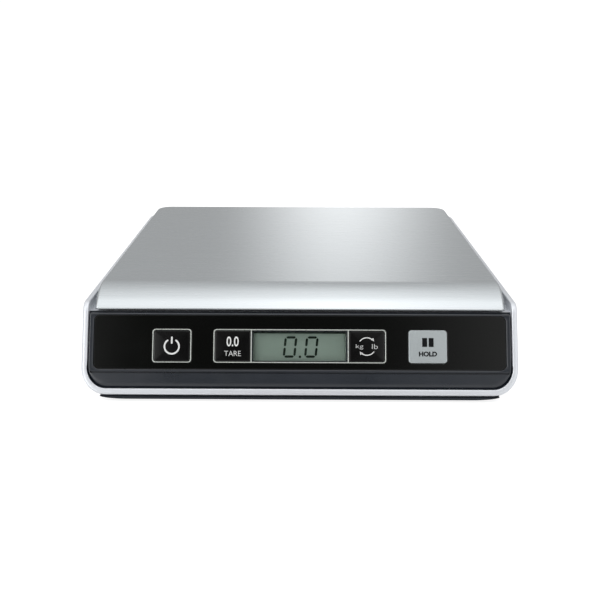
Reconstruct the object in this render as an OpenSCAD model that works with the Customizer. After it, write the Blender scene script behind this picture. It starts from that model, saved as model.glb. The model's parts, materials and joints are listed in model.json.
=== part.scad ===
// Platform shipping scale with a stainless platform, a leaning control fascia and a single load cell.
// Millimetres. X is across the scale, +Y runs from the fascia to the back, +Z is up.
// The origin is on the floor, under the middle of the scale.

/* [Body] */
// Width across the silver side walls
body_w = 215; // [214:1:220]
// Depth from the foot of the leaning front to the back wall
body_d = 226; // [226:1:232]
// Height from the floor to the top of the platform
body_h = 51; // [51:0.5:54]
// Wall thickness of the silver shell
wall = 2.9; // [2.6:0.1:3]
// Radius of the shell's lower side corners
side_r = 12.5; // [11:0.5:14]
// Height of the dark base that shows under the shell
base_band = 1.5; // [1.4:0.1:1.8]
// Thickness of the shell's floor, whose front edge is the silver lip
floor_t = 3.3; // [3:0.1:3.6]
// Height that the feet hold the base off the floor
foot_stand = 1.5; // [1.2:0.1:2]

/* [Platform] */
// Width of the stainless platform
plate_w = 203; // [201:1:204]
// Depth of the platform, with its rolled front
plate_d = 203; // [202:0.5:204]
// Thickness of the stainless sheet
sheet_t = 0.8; // [0.6:0.1:1]
// Height of the platform's folded skirt
skirt_h = 7.5; // [6:0.5:8]
// Radius of the rolled front
roll_r = 24.8; // [24:0.2:25.6]
// Angle that the front is rolled through
roll_angle = 52; // [51:0.5:53]
// Movement of the platform down to its overload stops
load_travel = 0.7; // [0.3:0.1:0.7]

/* [Fascia] */
// Lean of the front, back from upright
lean = 24; // [23:0.5:25]
// Width of the black panel
panel_w = 202.8; // [200:0.2:203]
// Height of the black panel along the slope
panel_h = 26.5; // [26:0.1:26.6]
// Width of the chrome frame around the display and its two keys
frame_w = 85; // [84:0.5:86]
// Height of the chrome frame
frame_h = 16.6; // [16.4:0.1:17]
// Width of the power key's chrome ring
power_w = 19.2; // [19:0.1:19.8]
// Width of the hold key
hold_w = 18.9; // [18.6:0.1:19.4]
// Height of the power ring and the hold key
key_h = 16.6; // [16.4:0.1:16.8]
// Distance from the middle to the power key and to the hold key
key_x = 63; // [61:0.5:65]
// Travel of every key
key_travel = 0.6; // [0.3:0.1:0.6]

/* [Load cell] */
// Length of the aluminium beam
cell_l = 80; // [78:1:82]
// Width and height of the beam
cell_s = 12.7; // [12:0.1:13]

/* [Hidden] */
$fn = 64;

// Gap that keeps two neighbouring pieces apart
gap = 0.3;
// A cut runs past the faces of its piece by this much
cut = 1;

// Heights of the shells
base_z = foot_stand;
shell_z = base_z + base_band;
cavity_z = shell_z + floor_t;
// Top of the base inside the shell's opening, where it is thicker than the band
tray_t = 2.7;
tray_z = base_z + tray_t;
rim_z = body_h - 6.3;
deck_top = body_h - 10.8;
deck_t = 2;
deck_z = deck_top - deck_t;

// Places along the depth
front_y = -body_d / 2;
back_y = body_d / 2;
plate_back = back_y - wall - 2.4;
plate_front = plate_back - plate_d;
plate_y = (plate_front + plate_back) / 2;
crease_y = plate_front + roll_r * sin(roll_angle);
lip_z = body_h - roll_r * (1 - cos(roll_angle));
skirt_z = body_h - skirt_h;
// Plan radii of the platform's and the shell's back corners
plate_r = 9;
back_r = 11;
// The plan is drawn this much wider than the section, so that their round corners cross cleanly
plan_over = 0.4;
// Radius that blends the top of each side rim into the leaning front
rim_r = 6;

// Mid height of the keys, measured up the slope from the foot of the front
key_v = 26.2;
panel_v = 14.8;
panel_r = 2.6;
// Depths along the fascia's outward normal, zero at the silver front edge
bezel_face = -0.2;
panel_face = -0.3;
panel_back = -1.5;
bezel_back = -2.5;
flange_face = -2.7;
flange_back = -3.5;
glass_face = -4.5;
glass_back = -6.7;
board_face = -8;
board_back = -9.6;
switch_face = -4.6;
dome_t = 0.2;
dome_face = board_face + 0.4 + dome_t;
// Heights of the display board's screws
board_screw_vs = [key_v - 12, key_v + 12];
board_screw_x = 44;

// Chrome frame
frame_band = 0.6;
divider_x = 23.9;
cell_h = frame_h - 2 * frame_band;
side_cell_w = frame_w / 2 - frame_band - divider_x - frame_band / 2;
side_cell_x = divider_x + frame_band / 2 + side_cell_w / 2;
display_w = 2 * divider_x - frame_band;
key_gap = 0.2;
frame_r = 1.6;
cell_corner = 1;
key_r = 0.8;

// Load path
pad_t = 1;
support_top = body_h - sheet_t - pad_t;
support_t = 2.6;
support_z = support_top - support_t;
rib_z = deck_top + 3;
cell_z = 12;
spacer_t = 2;
cell_front = plate_y - cell_l / 2;
cell_back = plate_y + cell_l / 2;
spacer_l = 24.5;
post_z = cell_z + cell_s + spacer_t;
post_y = cell_back - 12.5;
post_floor = 4;
hole_near = 5;
hole_far = 20;
m4_r = 2;

// Corner stops and case screws
stop_x = 78;
stop_ys = [-62, 88];
case_screw_spots = [[-83, -78], [0, -78], [83, -78], [-83, 92], [0, 95], [83, 92]];
foot_spots = [[-72, -84], [72, -84], [-72, 84], [72, 84]];
foot_r = 8;

// Battery bay
bay_x = -66;
bay_w = 33;
bay_y0 = -25;
bay_l = 51;
bay_wall = 1.6;
bay_top = 14.8;
cell_r = 5.25;
cell_pitch = 10.8;
door_w = 35.4;
door_l = 53.4;
door_t = 1.8;
door_y0 = bay_y0 + bay_l / 2 - door_l / 2;
door_ledge_z = base_z + 2;
tab_w = 2.6;
tab_x = 6.9;

// Main board and socket
board_t = 1.6;
board_x0 = 22;
board_w = 54;
board_y0 = 52;
board_l = 50;
board_z = 14;
usb_x = 48;
usb_z = board_z + board_t + 1.95;
plug_w = 14;
plug_h = 9;
plug_depth = 7;

// ---------- shape helpers ----------

// Square with round corners, centred
module round_rect(w, h, r) {
    square([w - 2 * r, h], center = true);
    square([w, h - 2 * r], center = true);
    for (sx = [-1, 1], sy = [-1, 1])
        translate([sx * (w / 2 - r), sy * (h / 2 - r)]) circle(r);
}

// Extrudes a shape drawn in (x, z) from y0 to y1
module along_y(y0, y1) {
    translate([0, y1, 0]) rotate([90, 0, 0]) linear_extrude(y1 - y0) children();
}

// Extrudes a shape drawn in (y, z) from x0 to x1
module along_x(x0, x1) {
    translate([x0, 0, 0]) rotate([90, 0, 90]) linear_extrude(x1 - x0) children();
}

// Places children on the leaning front: x across, y up the slope, z outwards
module on_fascia() {
    translate([0, front_y, base_z]) rotate([90 - lean, 0, 0]) children();
}

// Slab on the fascia, centred on (x, v), between two depths
module fascia_slab(x, v, w, h, r, back, face) {
    on_fascia() translate([x, v, back]) linear_extrude(face - back) round_rect(w, h, r);
}

// Everything behind a plane parallel to the fascia
module behind_fascia(depth) {
    on_fascia() translate([-body_w, -100, depth - 400]) cube([2 * body_w, 300, 400]);
}

// Box from its low corner to its high corner
module block(low, high) {
    translate(low) cube(high - low);
}

// Cross-section of the body in (x, z), with round lower corners
module body_section(half_w, z0, z1, r) {
    translate([-half_w + r, z0]) square([2 * (half_w - r), z1 - z0]);
    translate([-half_w, z0 + r]) square([2 * half_w, z1 - z0 - r]);
    for (side = [-1, 1]) translate([side * (half_w - r), z0 + r]) circle(r);
}

// Plan in (x, y) with two round back corners
module body_plan(half_w, y0, y1, r) {
    translate([-half_w, y0]) square([2 * half_w, y1 - r - y0]);
    translate([-half_w + r, y0]) square([2 * (half_w - r), y1 - y0]);
    for (side = [-1, 1]) translate([side * (half_w - r), y1 - r]) circle(r);
}

// Points on an arc in (y, z), from one angle to another
function arc_points(centre, r, from, to, steps) =
    [for (i = [0:steps]) let (a = from + (to - from) * i / steps) centre + r * [cos(a), sin(a)]];

// Side profile of the shell in (y, z): leaning front, round front top, bevelled back foot
module shell_profile() {
    rim_y = front_y + (rim_z - rim_r - base_z) * tan(lean) + rim_r / cos(lean);
    foot_cut = 3;
    polygon(concat(
        [[front_y + base_band * tan(lean), shell_z]],
        arc_points([rim_y, rim_z - rim_r], rim_r, 180 - lean, 90, 8),
        [[back_y, rim_z], [back_y, shell_z + foot_cut], [back_y - foot_cut, shell_z]]
    ));
}

// Tube of radius r swept along a list of points, closed at both ends
module tube(points, r, sides = 8) {
    n = len(points);
    function way(i) =
        let (d = points[min(i + 1, n - 1)] - points[max(i - 1, 0)]) d / norm(d);
    function across(i) = let (c = cross(way(i), [0, 0, 1])) c / norm(c);
    rings = [
        for (i = [0:n - 1], k = [0:sides - 1])
            let (s = across(i), u = cross(s, way(i)), a = 360 * k / sides)
            points[i] + r * (cos(a) * s + sin(a) * u)
    ];
    walls = [
        for (i = [0:n - 2], k = [0:sides - 1])
            let (k2 = (k + 1) % sides)
            [i * sides + k, i * sides + k2, (i + 1) * sides + k2, (i + 1) * sides + k]
    ];
    first = [for (k = [sides - 1:-1:0]) k];
    last = [for (k = [0:sides - 1]) (n - 1) * sides + k];
    polyhedron(rings, concat([first], walls, [last]));
}

// Point on a smooth curve through four neighbouring points
function between(a, b, c, d, t) =
    0.5 * ((2 * b) + (c - a) * t + (2 * a - 5 * b + 4 * c - d) * t * t
    + (3 * b - a - 3 * c + d) * t * t * t);

// Smooth route through a list of points, with steps points for each span
function smooth_route(p, steps) = let (n = len(p)) concat(
    [for (i = [0:n - 2], k = [0:steps - 1])
        between(p[max(i - 1, 0)], p[i], p[i + 1], p[min(i + 2, n - 1)], k / steps)],
    [p[n - 1]]
);

// ---------- platform and load path ----------

// Side profile of the platform in (y, z), drawn in by the sheet's thickness when inset is set
module plate_profile(inset, lip, skirt) {
    translate([crease_y, skirt])
        square([plate_back - inset - crease_y, body_h - inset - skirt]);
    intersection() {
        translate([crease_y, body_h - roll_r]) circle(roll_r - inset, $fn = 128);
        translate([crease_y - roll_r, lip]) square([roll_r, roll_r]);
    }
}

// Plan of the platform, in by inset
module plate_plan(inset) {
    body_plan(plate_w / 2 - inset, plate_front - roll_r, plate_back - inset, plate_r - inset);
}

module platform() color("gainsboro") {
    difference() {
        intersection() {
            along_x(-plate_w / 2, plate_w / 2) plate_profile(0, lip_z, skirt_z);
            linear_extrude(body_h + cut) plate_plan(0);
        }
        intersection() {
            along_x(-plate_w / 2 + sheet_t, plate_w / 2 - sheet_t)
                plate_profile(sheet_t, lip_z - cut, skirt_z - cut);
            linear_extrude(body_h + cut) plate_plan(sheet_t);
        }
    }
}

module platform_pads() color("dimgray") {
    for (x = [-70, 70], y = [-55, 20, 90])
        translate([x, y, support_top]) cylinder(r = 6, h = pad_t);
}

module platform_support() color("darkslategray") {
    half_w = plate_w / 2 - sheet_t - 0.4;
    back = plate_back - sheet_t - 0.4;
    front = crease_y + 3;
    post_w = 30;
    post_l = 36;
    post_wall = 2.5;
    difference() {
        union() {
            translate([0, 0, support_z]) linear_extrude(support_t)
                body_plan(half_w, front, back, plate_r - sheet_t - 0.4);
            for (x = [-92, -50, 50, 92])
                block([x - 1, front, rib_z], [x + 1, back - 10, support_z + 0.1]);
            for (y = [-70, -40, 0, 65, 95])
                block([-half_w + 8, y - 1, rib_z], [half_w - 8, y + 1, support_z + 0.1]);
            block([-post_w / 2, post_y - post_l / 2, post_z],
                [post_w / 2, post_y + post_l / 2, support_z + 0.1]);
        }
        block([-post_w / 2 + post_wall, post_y - post_l / 2 + post_wall, post_z + post_floor],
            [post_w / 2 - post_wall, post_y + post_l / 2 - post_wall, support_top + cut]);
        for (y = [cell_back - hole_far, cell_back - hole_near])
            translate([0, y, post_z - cut]) cylinder(r = m4_r + 0.2, h = post_floor + 2 * cut);
    }
}

// Steel shim between the beam and a mount
module shim(y0, z0) {
    difference() {
        block([-cell_s / 2, y0, z0], [cell_s / 2, y0 + spacer_l, z0 + spacer_t]);
        for (y = y0 == cell_front ? [hole_near, hole_far] : [spacer_l - hole_far, spacer_l - hole_near])
            translate([0, y0 + y, z0 - cut]) cylinder(r = m4_r + 0.2, h = spacer_t + 2 * cut);
    }
}

module top_spacer() color("silver") shim(cell_back - spacer_l, cell_z + cell_s);

module base_spacer() color("silver") shim(cell_front, cell_z - spacer_t);

// Socket-head screw with its head on top, the underside of the head at z = 0
module socket_screw(shank) {
    difference() {
        union() {
            cylinder(r = 3.5, h = 3.4);
            translate([0, 0, -shank]) cylinder(r = m4_r, h = shank + 0.1);
        }
        translate([0, 0, 1.6]) cylinder(r = 1.7, h = 3, $fn = 6);
    }
}

module load_cell_top_screws() color("silver") {
    for (y = [cell_back - hole_far, cell_back - hole_near])
        translate([0, y, post_z + post_floor]) socket_screw(post_floor + spacer_t + 8);
}

module load_cell_base_screws() color("silver") {
    for (y = [cell_front + hole_near, cell_front + hole_far])
        translate([0, y, base_z + 4.3]) mirror([0, 0, 1]) socket_screw(cell_z - base_z - 4.3 + 8);
}

// Aluminium beam with two joined cross bores that make its thin bending walls
module load_cell() color("lightgray") {
    bore_r = 4.6;
    bore_y = 8;
    mid_z = cell_z + cell_s / 2;
    difference() {
        block([-cell_s / 2, cell_front, cell_z], [cell_s / 2, cell_back, cell_z + cell_s]);
        for (y = [plate_y - bore_y, plate_y + bore_y])
            translate([-cell_s, y, mid_z]) rotate([0, 90, 0]) cylinder(r = bore_r, h = 2 * cell_s);
        block([-cell_s, plate_y - bore_y, mid_z - 2], [cell_s, plate_y + bore_y, mid_z + 2]);
        for (y = [cell_front + hole_near, cell_front + hole_far])
            translate([0, y, cell_z - cut]) cylinder(r = m4_r + 0.05, h = cell_s + 2 * cut);
        for (y = [cell_back - hole_near, cell_back - hole_far])
            translate([0, y, cell_z - cut]) cylinder(r = m4_r + 0.5, h = cell_s + 2 * cut);
    }
}

module gauge_potting() color("white") {
    for (z = [cell_z - 1.2, cell_z + cell_s])
        block([-5.8, plate_y - 13, z], [5.8, plate_y + 13, z + 1.2]);
}

module overload_stops() color("silver") {
    head_z = support_z - load_travel - 0.1;
    for (x = [-stop_x, stop_x], y = stop_ys) {
        translate([x, y, deck_z - 3]) cylinder(r = m4_r, h = head_z - deck_z + 2);
        translate([x, y, head_z - 1.2]) cylinder(r = 4, h = 1.2);
    }
}

module stop_locknuts() color("silver") {
    for (x = [-stop_x, stop_x], y = stop_ys)
        translate([x, y, deck_top]) difference() {
            cylinder(r = 4, h = 2.6, $fn = 6);
            translate([0, 0, -cut]) cylinder(r = m4_r + 0.05, h = 2.6 + 2 * cut);
        }
}

// ---------- shells ----------

// Ears on the side walls that the bezel is screwed to
ear_x = 98;
ear_vs = [19, 36];
ear_back = -9.5;
ear_face = -7.5;

module upper_housing() color("lightsteelblue") {
    half_w = body_w / 2;
    open_w = 90;
    open_y0 = front_y + 16;
    open_y1 = back_y - 10;
    difference() {
        union() {
            difference() {
                intersection() {
                    along_x(-half_w, half_w) shell_profile();
                    along_y(front_y - cut, back_y + cut) body_section(half_w, shell_z, rim_z, side_r);
                    linear_extrude(rim_z + cut)
                        body_plan(half_w + plan_over, front_y - cut, back_y, back_r);
                }
                // hollow inside, open at the front and at the top
                intersection() {
                    along_y(front_y - cut, back_y - wall)
                        body_section(half_w - wall, cavity_z, body_h, side_r - wall);
                    linear_extrude(body_h)
                        body_plan(half_w - wall + plan_over, front_y - cut, back_y - wall,
                            back_r - wall);
                }
                // opening that the base closes
                translate([0, 0, shell_z - cut]) linear_extrude(floor_t + 2 * cut)
                    translate([0, (open_y0 + open_y1) / 2])
                        round_rect(2 * open_w, open_y1 - open_y0, 6);
            }
            // deck under the platform, which ends behind the bezel
            intersection() {
                translate([0, 0, deck_z]) linear_extrude(deck_t)
                    body_plan(half_w - wall / 2, front_y, back_y - wall / 2, back_r - wall / 2);
                behind_fascia(bezel_back - gap);
            }
            // bosses for the case screws, hanging from the deck
            for (p = case_screw_spots)
                translate([p[0], p[1], tray_z + 0.1]) cylinder(r = 4, h = deck_z - tray_z);
            for (x = [-stop_x, stop_x], y = stop_ys)
                translate([x, y, deck_z - 5]) cylinder(r = 4.5, h = 5.1);
            // ears for the bezel screws
            intersection() {
                for (side = [-1, 1], v = ear_vs)
                    on_fascia() translate([side * (ear_x + 1.8), v, (ear_back + ear_face) / 2])
                        cube([11.6, 8, ear_face - ear_back], center = true);
                along_y(front_y, 0) body_section(half_w - 1, shell_z + 1, deck_z, side_r - 1);
            }
            // pocket for the plug
            block([usb_x - plug_w / 2 - bay_wall, back_y - plug_depth - bay_wall,
                    usb_z - plug_h / 2 - bay_wall],
                [usb_x + plug_w / 2 + bay_wall, back_y - wall + 0.1,
                    usb_z + plug_h / 2 + bay_wall]);
        }
        for (p = case_screw_spots)
            translate([p[0], p[1], tray_z - cut]) cylinder(r = 1.55, h = 16);
        for (x = [-stop_x, stop_x], y = stop_ys)
            translate([x, y, deck_z - 3.5]) cylinder(r = m4_r + 0.05, h = deck_t + 5);
        for (side = [-1, 1], v = ear_vs)
            on_fascia() translate([side * ear_x, v, ear_back - cut])
                cylinder(r = 1.7, h = 2 + 2 * cut);
        block([usb_x - plug_w / 2, back_y - plug_depth, usb_z - plug_h / 2],
            [usb_x + plug_w / 2, back_y + cut, usb_z + plug_h / 2]);
        block([usb_x - 4.1, back_y - plug_depth - 2 * bay_wall, usb_z - 2.2],
            [usb_x + 4.1, back_y - plug_depth + cut, usb_z + 2.2]);
        // hole in the deck for the platform's post
        translate([0, post_y, deck_z - cut]) linear_extrude(deck_t + 2 * cut)
            round_rect(36, 42, 4);
    }
}

module base_tray() color("darkslategray") {
    half_w = 98;
    flat_w = 84;
    rib_w = 89.6;
    y0 = front_y - cut;
    y1 = back_y - 3;
    rib_y0 = front_y + 16.4;
    rib_y1 = back_y - 10.4;
    rib_t = 1.8;
    rib_top = tray_z + 4.8;
    edge = [for (a = [0:9:90]) [flat_w + (half_w - flat_w) * cos(a), shell_z - base_band * sin(a)]];
    bay_x0 = bay_x - bay_w / 2;
    bay_x1 = bay_x + bay_w / 2;
    bay_y1 = bay_y0 + bay_l;
    difference() {
        union() {
            // band under the shell, whose sides curve up to it
            intersection() {
                along_y(y0, y1)
                    polygon(concat(edge, [for (i = [len(edge) - 1:-1:0]) [-edge[i][0], edge[i][1]]]));
                linear_extrude(body_h) body_plan(half_w + plan_over, y0 - cut, y1, 10);
                behind_fascia(0);
            }
            // thicker floor inside the shell's opening
            translate([0, (rib_y0 + rib_y1) / 2, shell_z - 0.1]) linear_extrude(tray_z - shell_z + 0.1)
                round_rect(2 * rib_w, rib_y1 - rib_y0, 6);
            // rib that locates the shell
            difference() {
                translate([0, (rib_y0 + rib_y1) / 2, tray_z - 0.1])
                    linear_extrude(rib_top - tray_z + 0.1)
                        round_rect(2 * rib_w, rib_y1 - rib_y0, 6);
                translate([0, (rib_y0 + rib_y1) / 2, tray_z - cut])
                    linear_extrude(rib_top)
                        round_rect(2 * (rib_w - rib_t), rib_y1 - rib_y0 - 2 * rib_t, 4.2);
            }
            // boss under the beam's fixed end
            block([-12, cell_front - 3, tray_z - 0.1],
                [12, cell_front + spacer_l + 1, cell_z - spacer_t]);
            // posts for the main board
            for (x = [board_x0 + 4, board_x0 + board_w - 4], y = [board_y0 + 4, board_y0 + board_l - 4])
                translate([x, y, tray_z - 0.1]) cylinder(r = 3, h = board_z - tray_z + 0.1);
            // battery bay
            block([bay_x0 - bay_wall, bay_y0 - bay_wall, tray_z - 0.1],
                [bay_x1 + bay_wall, bay_y1 + bay_wall, bay_top + bay_wall]);
        }
        // inside of the battery bay
        block([bay_x0, bay_y0, base_z - cut], [bay_x1, bay_y1, bay_top]);
        // step that the battery door lies in
        block([bay_x - door_w / 2 - gap, door_y0 - gap, base_z - cut],
            [bay_x + door_w / 2 + gap, door_y0 + door_l + gap, door_ledge_z]);
        // slots for the door's tabs, and the notch for its latch
        for (side = [-1, 1])
            block([bay_x + side * tab_x - tab_w / 2 - gap, door_y0 - 3.5, tray_z],
                [bay_x + side * tab_x + tab_w / 2 + gap, bay_y0 + cut, tray_z + 3.6]);
        for (side = [-1, 1])
            block([bay_x + side * tab_x - tab_w / 2 - gap, door_y0, door_ledge_z - cut],
                [bay_x + side * tab_x + tab_w / 2 + gap, bay_y0 + cut, tray_z + cut]);
        block([bay_x - 5.5, bay_y1 - cut, door_ledge_z - cut],
            [bay_x + 5.5, bay_y1 + 1.4, tray_z + 1.6]);
        // counterbores and holes for the beam's screws
        for (y = [cell_front + hole_near, cell_front + hole_far])
            translate([0, y, base_z - cut]) {
                cylinder(r = 4, h = 4.3 + cut);
                cylinder(r = m4_r + 0.2, h = cell_z);
            }
        // case screws
        for (p = case_screw_spots)
            translate([p[0], p[1], base_z - cut]) {
                cylinder(r = 3.1, h = 1.6 + cut);
                cylinder(r = 1.8, h = tray_t + 2 * cut);
            }
        // recesses for the feet
        for (p = foot_spots)
            translate([p[0], p[1], base_z - cut]) cylinder(r = foot_r + 0.1, h = 1 + cut);
        for (x = [board_x0 + 4, board_x0 + board_w - 4], y = [board_y0 + 4, board_y0 + board_l - 4])
            translate([x, y, tray_z + 2]) cylinder(r = 1.05, h = board_z);
    }
}

module feet() color("black") {
    for (p = foot_spots)
        translate([p[0], p[1], 0]) {
            cylinder(r = foot_r - 1, h = foot_stand);
            translate([0, 0, 0.5]) cylinder(r = foot_r, h = foot_stand + 0.5);
        }
}

// Pan-head screw with its head underneath, the top of the head at z = 0
module pan_screw(head_r, head_h, shank_r, shank) {
    difference() {
        union() {
            translate([0, 0, -head_h]) cylinder(r = head_r, h = head_h);
            translate([0, 0, -0.1]) cylinder(r = shank_r, h = shank + 0.1);
        }
        for (a = [0, 90]) rotate([0, 0, a])
            translate([0, 0, -head_h]) cube([1.3 * head_r, 0.5, 1.2], center = true);
    }
}

module case_screws() color("silver") {
    for (p = case_screw_spots)
        translate([p[0], p[1], base_z + 1.6]) pan_screw(2.8, 1.3, 1.5, 12);
}

// ---------- fascia ----------

// Plate that fills the front of the shell with an even gap around it
module bezel_plate() {
    half_w = body_w / 2 - wall - gap;
    top_v = 42.7;
    intersection() {
        on_fascia() translate([-half_w, 0, bezel_back])
            cube([2 * half_w, top_v, bezel_face - bezel_back]);
        along_y(front_y - 5, 0)
            body_section(half_w, cavity_z + gap, body_h, side_r - wall - gap);
    }
}

// Screw posts that stand on the back of the bezel
module bezel_posts(r, back, face) {
    for (side = [-1, 1], v = ear_vs)
        on_fascia() translate([side * ear_x, v, back]) cylinder(r = r, h = face - back);
    for (x = [-board_screw_x, board_screw_x], v = board_screw_vs)
        on_fascia() translate([x, v, back]) cylinder(r = r, h = face - back);
}

module fascia_bezel() color("dimgray") {
    seam_v = 13;
    difference() {
        union() {
            bezel_plate();
            difference() {
                bezel_posts(2.6, ear_face, bezel_back + 0.1);
                for (x = [-board_screw_x, board_screw_x], v = board_screw_vs)
                    fascia_slab(x, v, 8, 8, 1, board_face - cut, ear_face + cut);
            }
            for (x = [-board_screw_x, board_screw_x], v = board_screw_vs)
                on_fascia() translate([x, v, board_face])
                    cylinder(r = 2.6, h = bezel_back + 0.1 - board_face);
        }
        // pocket for the panel
        fascia_slab(0, panel_v + panel_h / 2, panel_w + 2 * gap, panel_h + 2 * gap,
            panel_r + gap, panel_back, cut);
        // windows for the keys and the display
        fascia_slab(-key_x, key_v, power_w - 2 * frame_band, key_h - 2 * frame_band, cell_corner,
            bezel_back - cut, cut);
        fascia_slab(key_x, key_v, hold_w + 2 * key_gap, key_h, frame_r + key_gap,
            bezel_back - cut, cut);
        for (side = [-1, 1])
            fascia_slab(side * side_cell_x, key_v, side_cell_w, cell_h, cell_corner,
                bezel_back - cut, cut);
        fascia_slab(0, key_v, display_w - 1.4, cell_h - 1, 0.8, bezel_back - cut, cut);
        // seam over the chin
        on_fascia() translate([-body_w / 2, seam_v - 0.25, bezel_face - 0.5])
            cube([body_w, 0.5, 2]);
        // pilot holes in the posts
        bezel_posts(1.05, board_face - cut, bezel_back - 0.1);
    }
}

// Self-tapping screw along the fascia's normal, its head behind a face at the given depth
module fascia_screw(x, v, depth, shank) {
    on_fascia() translate([x, v, depth]) pan_screw(2.4, 1.4, 1, shank);
}

module bezel_screws() color("silver") {
    for (side = [-1, 1], v = ear_vs) fascia_screw(side * ear_x, v, ear_back, 5.5);
}

module display_board_screws() color("silver") {
    for (x = [-board_screw_x, board_screw_x], v = board_screw_vs) fascia_screw(x, v, board_back, 5);
}

module fascia_panel() color("black") {
    difference() {
        fascia_slab(0, panel_v + panel_h / 2, panel_w, panel_h, panel_r, panel_back, panel_face);
        fascia_slab(-key_x, key_v, power_w + key_gap, key_h + key_gap, frame_r + 0.1,
            panel_back - cut, cut);
        fascia_slab(key_x, key_v, hold_w + 2 * key_gap, key_h, frame_r + key_gap,
            panel_back - cut, cut);
        fascia_slab(0, key_v, frame_w + key_gap, frame_h + key_gap, frame_r + 0.1,
            panel_back - cut, cut);
    }
}

module display_frame() color("lightgray") {
    difference() {
        fascia_slab(0, key_v, frame_w, frame_h, frame_r, panel_back, 0);
        fascia_slab(0, key_v, display_w, cell_h, 0.5, panel_back - cut, cut);
        for (side = [-1, 1])
            fascia_slab(side * side_cell_x, key_v, side_cell_w, cell_h, cell_corner,
                panel_back - cut, cut);
    }
}

module power_ring() color("lightgray") {
    difference() {
        fascia_slab(-key_x, key_v, power_w, key_h, frame_r, panel_back, 0);
        fascia_slab(-key_x, key_v, power_w - 2 * frame_band, key_h - 2 * frame_band, cell_corner,
            panel_back - cut, cut);
    }
}

// Key cap with a flange behind the bezel that keeps it in
module key_cap(x, w, h, r, face) {
    fascia_slab(x, key_v, w, h, r, flange_face - 0.1, face);
    fascia_slab(x, key_v, w, h + 2, 1, flange_back, flange_face);
}

// Switch plunger behind a key; at full travel its end is just short of the metal dome
module plunger(x) {
    end = dome_face + key_travel + 0.1;
    on_fascia() translate([x, key_v, end]) cylinder(r = 1.6, h = flange_back - end);
}

module power_button() color("black")
    key_cap(-key_x, power_w - 2 * frame_band - 2 * key_gap, key_h - 2 * frame_band - 2 * key_gap,
        key_r, 0.3);

module tare_button() color("black")
    key_cap(-side_cell_x, side_cell_w - 2 * key_gap, cell_h - 2 * key_gap, key_r, 0.1);

module unit_button() color("black")
    key_cap(side_cell_x, side_cell_w - 2 * key_gap, cell_h - 2 * key_gap, key_r, 0.1);

module hold_button() color("silver")
    key_cap(key_x, hold_w, key_h - 2 * key_gap, frame_r, 0.4);

module power_plunger() color("ivory") plunger(-key_x);
module tare_plunger() color("ivory") plunger(-side_cell_x);
module unit_plunger() color("ivory") plunger(side_cell_x);
module hold_plunger() color("ivory") plunger(key_x);

module display_window() color("lightblue", 0.5)
    fascia_slab(0, key_v, display_w - 0.2, cell_h - 0.2, 0.5, panel_back, -0.5);

module display_gasket() color("black") {
    difference() {
        fascia_slab(0, key_v, display_w + 1.4, cell_h + 2, 1, glass_face, bezel_back);
        fascia_slab(0, key_v, display_w - 0.8, cell_h - 0.4, 0.5, glass_face - cut, 0);
    }
}

module lcd_glass() color("darkseagreen")
    fascia_slab(0, key_v, 54, 22, 0.5, glass_back, glass_face);

module lcd_holder() color("white") {
    difference() {
        fascia_slab(0, key_v, 59, 26, 1.5, board_face, glass_face);
        fascia_slab(0, key_v, 54.4, 22.4, 0.7, board_face - cut, 0);
    }
}

module lcd_reflector() color("whitesmoke")
    fascia_slab(0, key_v, 54, 15, 0.5, board_face + 0.2, glass_back - 0.1);

module zebra_strips() color("dimgray") {
    for (side = [-1, 1])
        fascia_slab(0, key_v + side * 9.4, 50, 2.4, 0.3, board_face, glass_back);
}

module display_board() color("darkgreen") {
    difference() {
        fascia_slab(0, key_v, 148, 30.5, 1.5, board_back, board_face);
        for (x = [-board_screw_x, board_screw_x], v = board_screw_vs)
            on_fascia() translate([x, v, board_back - cut]) cylinder(r = 1.3, h = 4);
    }
}

switch_xs = [-key_x, -side_cell_x, side_cell_x, key_x];

module tact_switches() color("dimgray") {
    for (x = switch_xs)
        difference() {
            fascia_slab(x, key_v, 6, 6, 0.4, board_face, switch_face);
            on_fascia() translate([x, key_v, board_face + 0.4]) cylinder(r = 1.85, h = 4);
        }
}

module switch_domes() color("silver") {
    for (x = switch_xs)
        on_fascia() translate([x, key_v, dome_face - dome_t]) cylinder(r = 1.6, h = dome_t);
}

// ---------- electronics ----------

module main_board() color("darkgreen") {
    difference() {
        block([board_x0, board_y0, board_z],
            [board_x0 + board_w, board_y0 + board_l, board_z + board_t]);
        for (x = [board_x0 + 4, board_x0 + board_w - 4], y = [board_y0 + 4, board_y0 + board_l - 4])
            translate([x, y, board_z - cut]) cylinder(r = 1.4, h = board_t + 2 * cut);
    }
}

module main_board_screws() color("silver") {
    for (x = [board_x0 + 4, board_x0 + board_w - 4], y = [board_y0 + 4, board_y0 + board_l - 4])
        translate([x, y, board_z + board_t]) mirror([0, 0, 1]) pan_screw(2.4, 1.4, 1, 6.5);
}

module board_chips() color("black") {
    top = board_z + board_t;
    block([40, 72, top], [50, 82, top + 1.4]);
    block([58, 76, top], [63, 82, top + 1.6]);
    block([32, 84, top], [37, 88, top + 1.2]);
}

module board_capacitors() color("steelblue") {
    for (p = [[66, 68], [56, 66], [34, 76]])
        translate([p[0], p[1], board_z + board_t]) cylinder(r = 2.5, h = 7);
}

module board_connectors() color("ivory") {
    top = board_z + board_t;
    block([27.5, 62, top], [34.5, 66, top + 4]);
    block([22.5, 69, top], [26.5, 77, top + 4]);
    block([49, 54, top], [63, 58, top + 3]);
}

module usb_socket() color("silver") {
    difference() {
        block([usb_x - 3.85, back_y - plug_depth - 9.2, board_z + board_t],
            [usb_x + 3.85, back_y - plug_depth, board_z + board_t + 3.9]);
        block([usb_x - 3.45, back_y - plug_depth - 8.7, board_z + board_t + 0.4],
            [usb_x + 3.45, back_y - plug_depth + cut, board_z + board_t + 3.5]);
    }
}

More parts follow.
